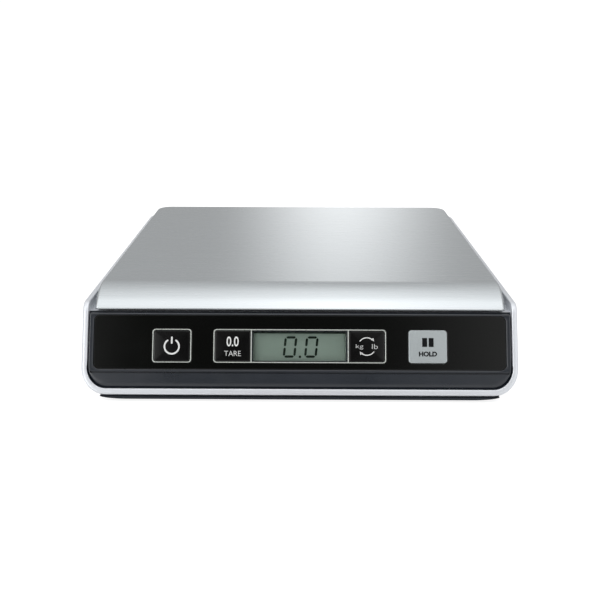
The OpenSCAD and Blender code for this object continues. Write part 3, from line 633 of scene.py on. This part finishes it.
def on_painted_outside(face):
    """Whether a face of the CAD housing lies on the outside that silver_shell stands for."""
    c = face.calc_center_median()
    side = abs(c.x) > side_reach(c.z) - NEAR
    under_x, under_z = abs(c.x) - (HALF_W - SIDE_R), SHELL_Z + SIDE_R - c.z
    lower_corner = min(under_x, under_z) > 0 and math.hypot(under_x, under_z) > SIDE_R - 5 * NEAR
    flat = c.y > BACK_Y - NEAR or c.z < SHELL_Z + NEAR or c.z > RIM_Z - NEAR
    foot = c.y + (SHELL_Z - c.z) > BACK_Y - FOOT_CUT - NEAR
    front = fascia_xvw(c).z > -NEAR
    above_deck = any(v.co.z > DECK_TOP + NEAR for v in face.verts)
    past_x, past_y = abs(c.x) - (HALF_W - BACK_RX), c.y - (BACK_Y - BACK_RY)
    back_corner = math.hypot(max(0.0, past_x), max(0.0, past_y)) > BACK_RY - 1.2 * MM
    return side or lower_corner or flat or foot or front or above_deck or back_corner


def housing_inside():
    """The CAD's faces inside the shell: dark plastic as painted shade, so that the gaps round the fascia and the
    platform read black, except the deck's top, which is silver.
    """
    # painted shade: the faces inside the shell take the dark base plastic, standing for the shade in the gaps
    # beside the bezel and the platform
    for name, slot, painted in (("housing_inside", "base_plastic", False),
                                ("housing_deck", "silver_paint", True)):
        work = bmesh.new()
        work.from_mesh(NODES["upper_housing"].data)
        other = []
        for face in work.faces:
            deck = face.normal.z > 0.9 and abs(face.calc_center_median().z - DECK_TOP) < NEAR
            if deck != painted or on_painted_outside(face):
                other.append(face)
        bmesh.ops.delete(work, geom=other, context="FACES")
        add_piece(name, finished(work, name), "base", slot, smooth_angle=30)


# ---------------------------------------------------------------- fascia
BEZEL_FACE = -0.2 * MM


def bezel_outline(inset, depth, steps=8):
    """Outer outline of the bezel at one depth: square top corners, lower corners that follow the shell."""
    low, high = fascia_box("fascia_bezel")
    top_r, low_rx, low_rv = 1.6 * MM, 9.4 * MM, 9.4 * MM / COS
    half = high.x - inset
    top, bottom = high.y - inset, low.y + inset
    corners = [(1, 1, 0, top_r, top_r), (-1, 1, 90, top_r, top_r),
               (-1, -1, 180, low_rx, low_rv), (1, -1, 270, low_rx, low_rv)]
    points = []
    for sx, sy, start, rx, rv in corners:
        rx, rv = max(rx - inset, 0.1 * MM), max(rv - inset, 0.1 * MM)
        ox = sx * (half - rx)
        ov = top - rv if sy > 0 else bottom + rv
        for k in range(steps + 1):
            a = math.radians(start + 90 * k / steps)
            points.append((ox + rx * math.cos(a), ov + rv * math.sin(a), depth))
    return points


def above(points, v_min, depth):
    """Outline points at a depth, with those that lie lower moved up to a height."""
    return [(x, max(v, v_min), depth) for x, v, _ in points]


def bezel_carrier(floor):
    """The CAD's back of the bezel, without the faces in front of the pocket's floor."""
    work = bmesh.new()
    work.from_mesh(NODES["fascia_bezel"].data)
    front_faces = [f for f in work.faces
                   if max(fascia_xvw(v.co).z for v in f.verts) > floor + 0.02 * MM]
    bmesh.ops.delete(work, geom=front_faces, context="FACES")
    add_piece("bezel_carrier", finished(work, "bezel_carrier"), "base", "bezel_plastic",
              "fascia_bezel", smooth_angle=30)


def chin_rings(edge, seam):
    """Rings from the bezel's edge to the seam: convex over the chin, a small round elsewhere."""
    steps = 7
    rings = []
    for k in range(1, steps + 1):
        turn = math.pi / 2 * k / steps
        rise, run = math.sin(turn), 1 - math.cos(turn)
        ring = []
        for a, b in zip(edge, seam):
            on_chin = b[1] - a[1] > 2 * MM
            crown = 0.25 * MM * math.sin(2 * turn) ** 2 if on_chin else 0.0
            ring.append((a[0] + (b[0] - a[0]) * (rise if on_chin else run),
                         a[1] + (b[1] - a[1]) * run,
                         a[2] + (b[2] - a[2]) * rise + crown))
        rings.append(ring)
    return rings


def seam_rings(inner, seam_v, seam_w):
    """Rings down into the seam over the chin and up its other side."""
    lip, depth, slope = 0.1 * MM, 1.1 * MM, 0.15 * MM
    profile = [(-1 / 2, lip), (-1 / 3, depth), (1 / 3, depth), (1 / 2, lip)]
    rings = [above(inner, seam_v + seam_w * share, BEZEL_FACE - drop) for share, drop in profile]
    rings.append(above(inner, seam_v + seam_w / 2 + slope, BEZEL_FACE))
    return rings


def pocket_rings(low, high, floor):
    """Rings over the chamfer of the panel's pocket and down to its floor."""
    gap, chamfer, radius = 0.3 * MM, 0.08 * MM, 2.9 * MM
    middle = (low.y + high.y) / 2
    pocket = rounded_loop(0, middle, high.x * 2 + 2 * gap, high.y - low.y + 2 * gap, radius)
    outside = [(x + math.copysign(chamfer, x), v + math.copysign(chamfer, v - middle), BEZEL_FACE)
               for x, v in pocket]
    return [outside] + [[(x, v, w) for x, v in pocket] for w in (BEZEL_FACE - chamfer, floor)]


def fascia_bezel():
    """Anthracite frame: its back from the CAD, its front with a panel pocket and a convex chin."""
    panel_low, panel_high = fascia_box("fascia_panel")
    floor = panel_low.z
    bezel_carrier(floor)
    seam_v, seam_w = 13 * MM, 0.7 * MM
    edge = bezel_outline(0, -1.4 * MM)
    inner = bezel_outline(0.9 * MM, BEZEL_FACE)
    rings = [bezel_outline(0, -2.5 * MM), edge]
    rings += chin_rings(edge, above(inner, seam_v - seam_w / 2, BEZEL_FACE))
    rings += seam_rings(inner, seam_v, seam_w)
    rings += pocket_rings(panel_low, panel_high, floor)
    mesh = loft("bezel_front", [[on_fascia(*p) for p in ring] for ring in rings])
    add_piece("bezel_front", mesh, "base", "bezel_plastic", smooth_angle=50)


def black_panel():
    """Glossy panel with a fine bevel and openings for the frame and the keys."""
    soften("fascia_panel", "base", 0.22 * MM)


CHROME_BAND, CHROME_R = 0.5 * MM, 1.6 * MM
CHROME_ROUND = CHROME_BAND * 0.42


def chrome_profile(low, high):
    """Steps across the band, from its outer foot over two rounded edges to its inner foot."""
    rise = [(inset, high - drop) for inset, drop in edge_round(CHROME_ROUND)]
    fall = [(CHROME_BAND - inset, w) for inset, w in reversed(rise)]
    return [(0, low)] + rise + fall + [(CHROME_BAND, low)]


def chrome_band(name, node):
    """Rounded band that runs round the box of a CAD frame."""
    low, high = fascia_box(node)
    cx, cv = (low.x + high.x) / 2, (low.y + high.y) / 2
    width, height = high.x - low.x, high.y - low.y
    rings = [fascia_ring(cx, cv, width - 2 * d, height - 2 * d, CHROME_R - d * 0.7, w, steps=10)
             for d, w in chrome_profile(low.z, high.z)]
    add_piece(name, loft(name, rings), "base", "chrome", node, smooth_angle=50)


def chrome_divider(name, x):
    """Upright band between the display and a key."""
    low, high = fascia_box("display_frame")
    cv, reach = (low.y + high.y) / 2, (high.y - low.y) / 2 - CHROME_BAND / 2
    rows = [[on_fascia(x - CHROME_BAND / 2 + d, cv + v, w) for d, w in chrome_profile(low.z, high.z)]
            for v in (-reach, reach)]
    add_piece(name, loft(name, rows, capped=True), "base", "chrome", smooth_angle=50)


def chrome_pieces():
    """Frame with its two dividers, and the power key's ring."""
    divider_x = 23.9 * MM
    chrome_band("chrome_frame", "display_frame")
    chrome_divider("chrome_divider_left", -divider_x)
    chrome_divider("chrome_divider_right", divider_x)
    chrome_band("chrome_ring", "power_ring")


# ---------------------------------------------------------------- keys
KEY_EDGE = 0.35 * MM
FLANGE_FACE = -2.5 * MM
FLANGE_T, FLANGE_EXTRA, FLANGE_R = 0.8 * MM, 2 * MM, 1 * MM


class Key:
    """A key's cap: where it sits on the fascia and how its face rises to the middle."""

    def __init__(self, node, body, radius, rim, rise):
        """Takes the corner radius, the rim's depth and the facets' rise; the rest is the CAD's."""
        self.node, self.body = node, body
        self.radius, self.rim, self.rise = radius, rim, rise
        low, high = fascia_box(node)
        cap = [p.y for p in (fascia_xvw(v.co) for v in NODES[node].data.vertices) if p.z > FLANGE_FACE]
        self.cx, self.cv = (low.x + high.x) / 2, (min(cap) + max(cap)) / 2
        self.width, self.height = high.x - low.x, max(cap) - min(cap)
        self.back = low.z

    def surface(self, x, v):
        """Depth of the faceted face at a place on the fascia."""
        across = abs(x - self.cx) / (self.width / 2 - KEY_EDGE)
        up = abs(v - self.cv) / (self.height / 2 - KEY_EDGE)
        return self.rim + self.rise * (1 - max(across, up))


def key_cap(key):
    """Cap with a flange, a rounded edge and four shallow facets that meet in the middle."""
    steps = 6

    def ring(width, height, radius, depth):
        """Outline round the key's centre."""
        return fascia_ring(key.cx, key.cv, width, height, radius, depth, steps)

    flange_top = key.back + FLANGE_T
    rings = [ring(key.width, key.height + FLANGE_EXTRA, FLANGE_R, depth) for depth in (key.back, flange_top)]
    rings.append(ring(key.width, key.height, key.radius, flange_top))
    for inset, drop in edge_round(KEY_EDGE):
        rings.append(ring(key.width - 2 * inset, key.height - 2 * inset, key.radius - inset, key.rim - drop))
    work = bmesh.new()
    rows = [[work.verts.new(p) for p in points] for points in rings]
    join_rings(work, rows)
    work.faces.new(list(reversed(rows[0])))
    # facets: each side's straight edge and half of its corners meet the middle
    top = work.verts.new(on_fascia(key.cx, key.cv, key.rim + key.rise))
    rim = rows[-1]
    for a, b in zip(rim, rim[1:] + rim[:1]):
        work.faces.new((a, b, top))
    bmesh.ops.recalc_face_normals(work, faces=work.faces)
    name = key.node + "_cap"
    add_piece(name, finished(work, name), key.body, SLOT_OF[key.node], key.node, smooth_angle=2.5)


# ---------------------------------------------------------------- markings
def draped(name, work, body, material, height_at):
    """Lays flat faces, drawn in (x, v), on a surface as a thin printed layer that follows its facets."""
    cell, lift = 0.35 * MM, 0.05 * MM
    for axis in (0, 1):
        values = [vert.co[axis] for vert in work.verts]
        place, normal = Vector((0, 0, 0)), Vector((0, 0, 0))
        normal[axis] = 1
        for k in range(1, math.ceil((max(values) - min(values)) / cell)):
            place[axis] = min(values) + k * cell
            bmesh.ops.bisect_plane(work, geom=work.verts[:] + work.edges[:] + work.faces[:],
                                   plane_co=place, plane_no=normal)
    for vert in work.verts:
        x, v = vert.co.x, vert.co.y
        vert.co = on_fascia(x, v, height_at(x, v) + lift)
    mesh = finished(work, name)
    obj = bpy.data.objects.new(name, mesh)
    bpy.context.scene.collection.objects.link(obj)
    mesh.materials.append(material)
    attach(obj, body)
    thick = obj.modifiers.new("thickness", "SOLIDIFY")
    thick.thickness = 0.02 * MM
    thick.offset = 0


def flat_piece(name, outlines, body, material, height_at):
    """Printed shape made of closed outlines of (x, v)."""
    work = bmesh.new()
    for outline in outlines:
        work.faces.new([work.verts.new((x, v, 0)) for x, v in outline])
    draped(name, work, body, material, height_at)


def arc_band(cx, cv, radius, width, start, end, steps=40):
    """Outline pieces of a round-ended circular stroke from one angle to another, in degrees."""
    quads = []
    for k in range(steps):
        a0 = math.radians(start + (end - start) * k / steps)
        a1 = math.radians(start + (end - start) * (k + 1) / steps)
        inner, outer = radius - width / 2, radius + width / 2
        quads.append([(cx + r * math.cos(a), cv + r * math.sin(a))
                      for r, a in ((inner, a0), (outer, a0), (outer, a1), (inner, a1))])
    for a, turn in ((math.radians(start), -1), (math.radians(end), 1)):
        ox, ov = cx + radius * math.cos(a), cv + radius * math.sin(a)
        quads.append([(ox + width / 2 * math.cos(a + turn * math.pi * j / 8),
                       ov + width / 2 * math.sin(a + turn * math.pi * j / 8)) for j in range(9)])
    return quads


def bar(cx, cv, width, height, radius=0.0):
    """Outline of an upright bar with round corners."""
    return [rounded_loop(cx, cv, width, height, radius, 4)]


def letters(name, text, offset, size, key, material, bold):
    """Plain lettering of a given width and height on a key, centred at an offset from its middle."""
    curve = bpy.data.curves.new(name + "_curve", "FONT")
    curve.body = text
    curve.offset = bold
    curve.resolution_u = 4
    holder = bpy.data.objects.new(name + "_curve", curve)
    bpy.context.scene.collection.objects.link(holder)
    bpy.context.view_layer.update()
    mesh = bpy.data.meshes.new_from_object(holder)
    bpy.data.objects.remove(holder)
    work = bmesh.new()
    work.from_mesh(mesh)
    bpy.data.meshes.remove(mesh)
    centre = (key.cx + offset[0] * MM, key.cv + offset[1] * MM)
    for axis in (0, 1):
        values = [vert.co[axis] for vert in work.verts]
        middle, scale = (max(values) + min(values)) / 2, size[axis] * MM / (max(values) - min(values))
        for vert in work.verts:
            vert.co[axis] = centre[axis] + (vert.co[axis] - middle) * scale
    draped(name, work, key.body, material, key.surface)


def print_material(name, colour, rough=0.45):
    """Matt printing ink with a slight mottle."""
    m, tree, shader = new_material(name)
    link(tree, ramp(tree, noise(tree, 800), 0.2, 0.8, [c * 0.94 for c in colour], colour),
         shader.inputs["Base Color"])
    shader.inputs["Roughness"].default_value = rough
    shader.inputs["Specular IOR Level"].default_value = 0.15
    return m


def arrow_head(tip, direction, length, width):
    """Triangle with its tip at a place."""
    d = Vector(direction).normalized()
    n = Vector((-d.y, d.x))
    base = Vector(tip) - d * length
    return [tuple(tip), tuple(base + n * width / 2), tuple(base - n * width / 2)]


def power_legend(key, material):
    """A ring that is open at the top, with a bar in its gap."""
    ring_r, stroke = 3.6 * MM, 0.8 * MM
    outlines = arc_band(key.cx, key.cv - 0.4 * MM, ring_r, stroke, 125, 415)
    outlines += bar(key.cx, key.cv + 2.7 * MM, stroke, 3.6 * MM, stroke / 2)
    flat_piece("power_symbol", outlines, key.body, material, key.surface)


def tare_legend(key, material):
    """A zero reading over a word."""
    letters("tare_zero", "0.0", (0, 2.2), (6.0, 4.9), key, material, bold=0.012)
    letters("tare_word", "TARE", (0, -3.7), (8.2, 2.5), key, material, bold=-0.01)


def unit_legend(key, material):
    """Two arcs with arrowheads around the two units."""
    radius, stroke, head = 4.3 * MM, 0.45 * MM, 1.5 * MM
    outlines = []
    for start, end, tip_angle in ((45, 142, 36), (225, 322, 216)):
        outlines += arc_band(key.cx, key.cv, radius, stroke, start, end, steps=16)
        a = math.radians(tip_angle)
        tip = (key.cx + radius * math.cos(a), key.cv + radius * math.sin(a))
        outlines.append(arrow_head(tip, (math.sin(a), -math.cos(a)), head, head))
    flat_piece("unit_symbol", outlines, key.body, material, key.surface)
    letters("unit_left", "kg", (-3.6, -0.2), (3.6, 2.6), key, material, bold=-0.015)
    letters("unit_right", "lb", (3.9, 0), (2.8, 2.4), key, material, bold=-0.015)


def hold_legend(key, material):
    """Two bars over a word."""
    outlines = []
    for side in (-1, 1):
        outlines += bar(key.cx + side * 1.6 * MM, key.cv + 2.1 * MM, 2.4 * MM, 4.4 * MM)
    flat_piece("hold_symbol", outlines, key.body, material, key.surface)
    letters("hold_word", "HOLD", (0, -3.6), (8.9, 2.45), key, material, bold=0.045)


def key_faces():
    """The four keys with their symbols."""
    white = print_material("legend_white", (0.78, 0.79, 0.78))
    dark = print_material("legend_dark", (0.003, 0.004, 0.005))
    power = Key("power_button", "power_key", 0.8 * MM, -0.15 * MM, 0.55 * MM)
    tare = Key("tare_button", "tare_key", 0.8 * MM, -0.3 * MM, 0.55 * MM)
    unit = Key("unit_button", "unit_key", 0.8 * MM, -0.3 * MM, 0.55 * MM)
    hold = Key("hold_button", "hold_key", 1.6 * MM, 0.1 * MM, 0.3 * MM)
    for key in (power, tare, unit, hold):
        key_cap(key)
    power_legend(power, white)
    tare_legend(tare, white)
    unit_legend(unit, white)
    hold_legend(hold, dark)


# ---------------------------------------------------------------- display
def segment(x0, v0, x1, v1, thick, slant, base_v):
    """One display bar with mitred ends, leaning by the slant."""
    a, b = Vector((x0, v0)), Vector((x1, v1))
    d = (b - a).normalized()
    n = Vector((-d.y, d.x)) * thick / 2
    m = d * thick / 2
    points = [a, a + m + n, b - m + n, b, b - m - n, a + m - n]
    return [(p.x + (p.y - base_v) * slant, p.y) for p in points]


def zero_reading(base_v):
    """Outlines of two seven-segment zeros with a point between them, standing on a line."""
    tall, wide, thick, slant = 9.5 * MM, 5.2 * MM, 1.15 * MM, 0.1
    gap = 0.25 * MM
    outlines = []
    for left in (-7.9 * MM, 2.7 * MM):
        right, top, mid = left + wide, base_v + tall, base_v + tall / 2
        outlines.append(segment(left + gap, base_v, right - gap, base_v, thick, slant, base_v))
        outlines.append(segment(left + gap, top, right - gap, top, thick, slant, base_v))
        for x in (left, right):
            outlines.append(segment(x, base_v + gap, x, mid - gap, thick, slant, base_v))
            outlines.append(segment(x, mid + gap, x, top - gap, thick, slant, base_v))
    return outlines + bar(0.1 * MM, base_v - 0.1 * MM, thick, thick)


def display():
    """Display glass with its reading, a painted shadow band along its top, and the window over it."""
    soften("lcd_glass", "base", 0.2 * MM)
    face = fascia_box("lcd_glass")[1].z
    window_low, window_high = fascia_box("display_window")
    ink = print_material("segment_ink", (0.006, 0.014, 0.009), 0.6)
    outlines = zero_reading((window_low.y + window_high.y) / 2 - 4.95 * MM)
    flat_piece("reading", outlines, "base", ink, lambda x, v: face)
    # painted shadow: a dark band across the top of the display glass stands for the shade that the window's top
    # edge casts there
    border = 1.1 * MM
    painted_shadow_ink = print_material("painted_shadow_ink", (0.030, 0.045, 0.037), 0.6)
    top_band = bar(0, window_high.y - border / 2, window_high.x * 2, border)
    flat_piece("painted_top_shadow", top_band, "base", painted_shadow_ink, lambda x, v: face)
    soften("display_window", "base", 0.15 * MM)


# ---------------------------------------------------------------- underside and small parts
# sole of a foot, radius and height in millimetres, from the dish outwards
FOOT_DISH = 0.35
FOOT_PROFILE = [(4.4, 0.3), (5.2, 0.0), (6.6, 0.0), (7.1, 0.14), (7.4, 0.5), (8.0, 0.9), (8.0, 1.9),
                (7.9, 2.0)]


def round_foot(work, cx, cy, bottom):
    """One rubber foot with a rounded sole and a shallow dish."""
    sides = 48
    rows = []
    for r, z in FOOT_PROFILE:
        rows.append([work.verts.new((cx + r * MM * math.cos(2 * math.pi * k / sides),
                                     cy + r * MM * math.sin(2 * math.pi * k / sides),
                                     bottom + z * MM)) for k in range(sides)])
    join_rings(work, rows)
    centre = work.verts.new((cx, cy, bottom + FOOT_DISH * MM))
    for k in range(sides):
        work.faces.new((centre, rows[0][(k + 1) % sides], rows[0][k]))
    work.faces.new(rows[-1])


def rubber_feet():
    """The four feet."""
    low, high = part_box("feet")
    foot_r = 8 * MM
    work = bmesh.new()
    for sx in (-1, 1):
        for sy in (-1, 1):
            round_foot(work, sx * (high.x - foot_r), sy * (high.y - foot_r), low.z)
    bmesh.ops.recalc_face_normals(work, faces=work.faces)
    add_piece("rubber_feet", finished(work, "rubber_feet"), "base", "soft_rubber", "feet", smooth_angle=35)


def underside():
    """Base tray, battery door and screws with softened edges."""
    soften("base_tray", "base", 0.35 * MM)
    soften("battery_door", "battery_door", 0.25 * MM)
    soften("case_screws", "base", 0.2 * MM)
    rubber_feet()


# ---------------------------------------------------------------- stage
def value_maths(tree):
    """Functions that add value nodes to a tree: a calculation, a smooth grade and a blend."""

    def calc(operation, *values):
        """Result of one operation on numbers or outputs."""
        node = tree.nodes.new("ShaderNodeMath")
        node.operation = operation
        for slot, value in zip(node.inputs, values):
            if isinstance(value, float):
                slot.default_value = value
            else:
                tree.links.new(value, slot)
        return node.outputs[0]

    def graded(value, start, end, low, high):
        """Smooth change from low to high while the value goes from start to end."""
        node = tree.nodes.new("ShaderNodeMapRange")
        node.interpolation_type = "SMOOTHSTEP"
        for key, number in zip(("From Min", "From Max", "To Min", "To Max"), (start, end, low, high)):
            node.inputs[key].default_value = number
        tree.links.new(value, node.inputs["Value"])
        return node.outputs["Result"]

    def blend(back, front, share):
        """Back value where the share is 0, front value where it is 1."""
        return calc("ADD", calc("MULTIPLY", back, calc("SUBTRACT", 1.0, share)),
                    calc("MULTIPLY", front, share))

    return calc, graded, blend


def world_light():
    """Studio surroundings by direction: a ceiling that is brightest overhead, a strip light that runs
    from back to front above the scale, and a front that is dim low down but for a panel on each side."""
    world = bpy.data.worlds.new("studio")
    world.use_nodes = True
    bpy.context.scene.world = world
    tree = world.node_tree
    background = tree.nodes["Background"]
    where = tree.nodes.new("ShaderNodeTexCoord")
    split = tree.nodes.new("ShaderNodeSeparateXYZ")
    tree.links.new(where.outputs["Generated"], split.inputs["Vector"])
    x, y, z = split.outputs
    calc, graded, blend = value_maths(tree)
    facing = graded(y, -0.12, 0.05, 1.0, 0.0)
    ceiling = calc("ADD", graded(z, 0.1, 1.2, 0.42, 0.85), graded(z, 0.8, 1.0, 0.0, 0.22))
    total = blend(ceiling, graded(z, 0.58, 0.90, 0.06, 1.35), facing)
    strip_back = calc("ADD", graded(z, 0.18, 0.38, 1.35, 0.0), graded(z, 0.6, 1.0, 0.0, 0.3))
    strip = blend(strip_back, graded(z, 0.48, 0.8, 0.0, 0.6), facing)
    across = graded(calc("ABSOLUTE", calc("SUBTRACT", x, 0.045)), 0.0, 0.15, 1.0, 0.0)
    total = calc("ADD", total, calc("MULTIPLY", strip, across))
    low_front = calc("MULTIPLY", facing, graded(z, 0.6, 0.8, 1.0, 0.0))
    left_panel = calc("MULTIPLY", graded(x, -0.62, -0.18, 3.2, 0.0), graded(x, -0.85, -0.62, 0.15, 1.0))
    left = calc("MULTIPLY", left_panel, low_front)
    right = calc("MULTIPLY", graded(x, 0.06, 0.42, 0.0, 0.95), low_front)
    total = calc("ADD", total, calc("ADD", left, right))
    tree.links.new(total, background.inputs["Color"])


def backdrop():
    """White dome that only the camera sees, so that the surroundings stay plain."""
    work = bmesh.new()
    bmesh.ops.create_uvsphere(work, u_segments=48, v_segments=24, radius=5.0)
    mesh = finished(work, "backdrop")
    obj = bpy.data.objects.new("backdrop", mesh)
    bpy.context.scene.collection.objects.link(obj)
    m, _, shader = new_material("backdrop")
    shader.inputs["Base Color"].default_value = (0, 0, 0, 1)
    shader.inputs["Emission Color"].default_value = (1, 1, 1, 1)
    shader.inputs["Emission Strength"].default_value = 1.0
    mesh.materials.append(m)
    obj.visible_diffuse = obj.visible_glossy = obj.visible_transmission = False
    obj.visible_shadow = obj.visible_volume_scatter = False


def floor(name, glow, seen):
    """Pale floor that can be looked through from below, so that the underside can be seen.

    One copy is seen by the camera, the other is dimmer and lights the object."""
    mesh = bpy.data.meshes.new(name)
    half = 6.0
    mesh.from_pydata([(-half, -half, 0), (half, -half, 0), (half, half, 0), (-half, half, 0)], [],
                     [(0, 1, 2, 3)])
    obj = bpy.data.objects.new(name, mesh)
    bpy.context.scene.collection.objects.link(obj)
    m, tree, shader = new_material(name)
    shader.inputs["Base Color"].default_value = (0.35, 0.35, 0.35, 1)
    shader.inputs["Emission Color"].default_value = (1, 1, 1, 1)
    shader.inputs["Emission Strength"].default_value = glow
    shader.inputs["Roughness"].default_value = 0.9
    side = tree.nodes.new("ShaderNodeNewGeometry")
    clear = tree.nodes.new("ShaderNodeBsdfTransparent")
    mix = tree.nodes.new("ShaderNodeMixShader")
    link(tree, side.outputs["Backfacing"], mix.inputs["Fac"])
    link(tree, shader.outputs["BSDF"], mix.inputs[1])
    link(tree, clear.outputs["BSDF"], mix.inputs[2])
    link(tree, mix.outputs["Shader"], tree.nodes["Material Output"].inputs["Surface"])
    mesh.materials.append(m)
    obj.visible_camera = seen
    obj.visible_diffuse = obj.visible_glossy = obj.visible_transmission = not seen
    obj.visible_shadow = not seen


def camera():
    """Placed as a photographer would stand: in front, looking 18 degrees down."""
    data = bpy.data.cameras.new("camera")
    data.lens, data.sensor_width = 51.2, 36.0
    obj = bpy.data.objects.new("camera", data)
    bpy.context.scene.collection.objects.link(obj)
    pitch, yaw, roll = math.radians(18.10), math.radians(-0.196), math.radians(0.179)
    turn = Matrix.Rotation(-yaw, 4, "Z") @ Matrix.Rotation(math.pi / 2 - pitch, 4, "X") \
        @ Matrix.Rotation(roll, 4, "Z")
    obj.matrix_world = Matrix.Translation((0.0014, -0.4944, 0.1775)) @ turn
    data.clip_start, data.clip_end = 0.01, 50
    bpy.context.scene.camera = obj


bpy.context.scene.view_settings.view_transform = "Standard"
camera()
world_light()
floor("floor", 0.85, True)
floor("floor_light", 0.42, False)
backdrop()
dress_cad_nodes()
stainless_platform()
silver_shell()
housing_inside()
fascia_bezel()
black_panel()
chrome_pieces()
key_faces()
display()
underside()
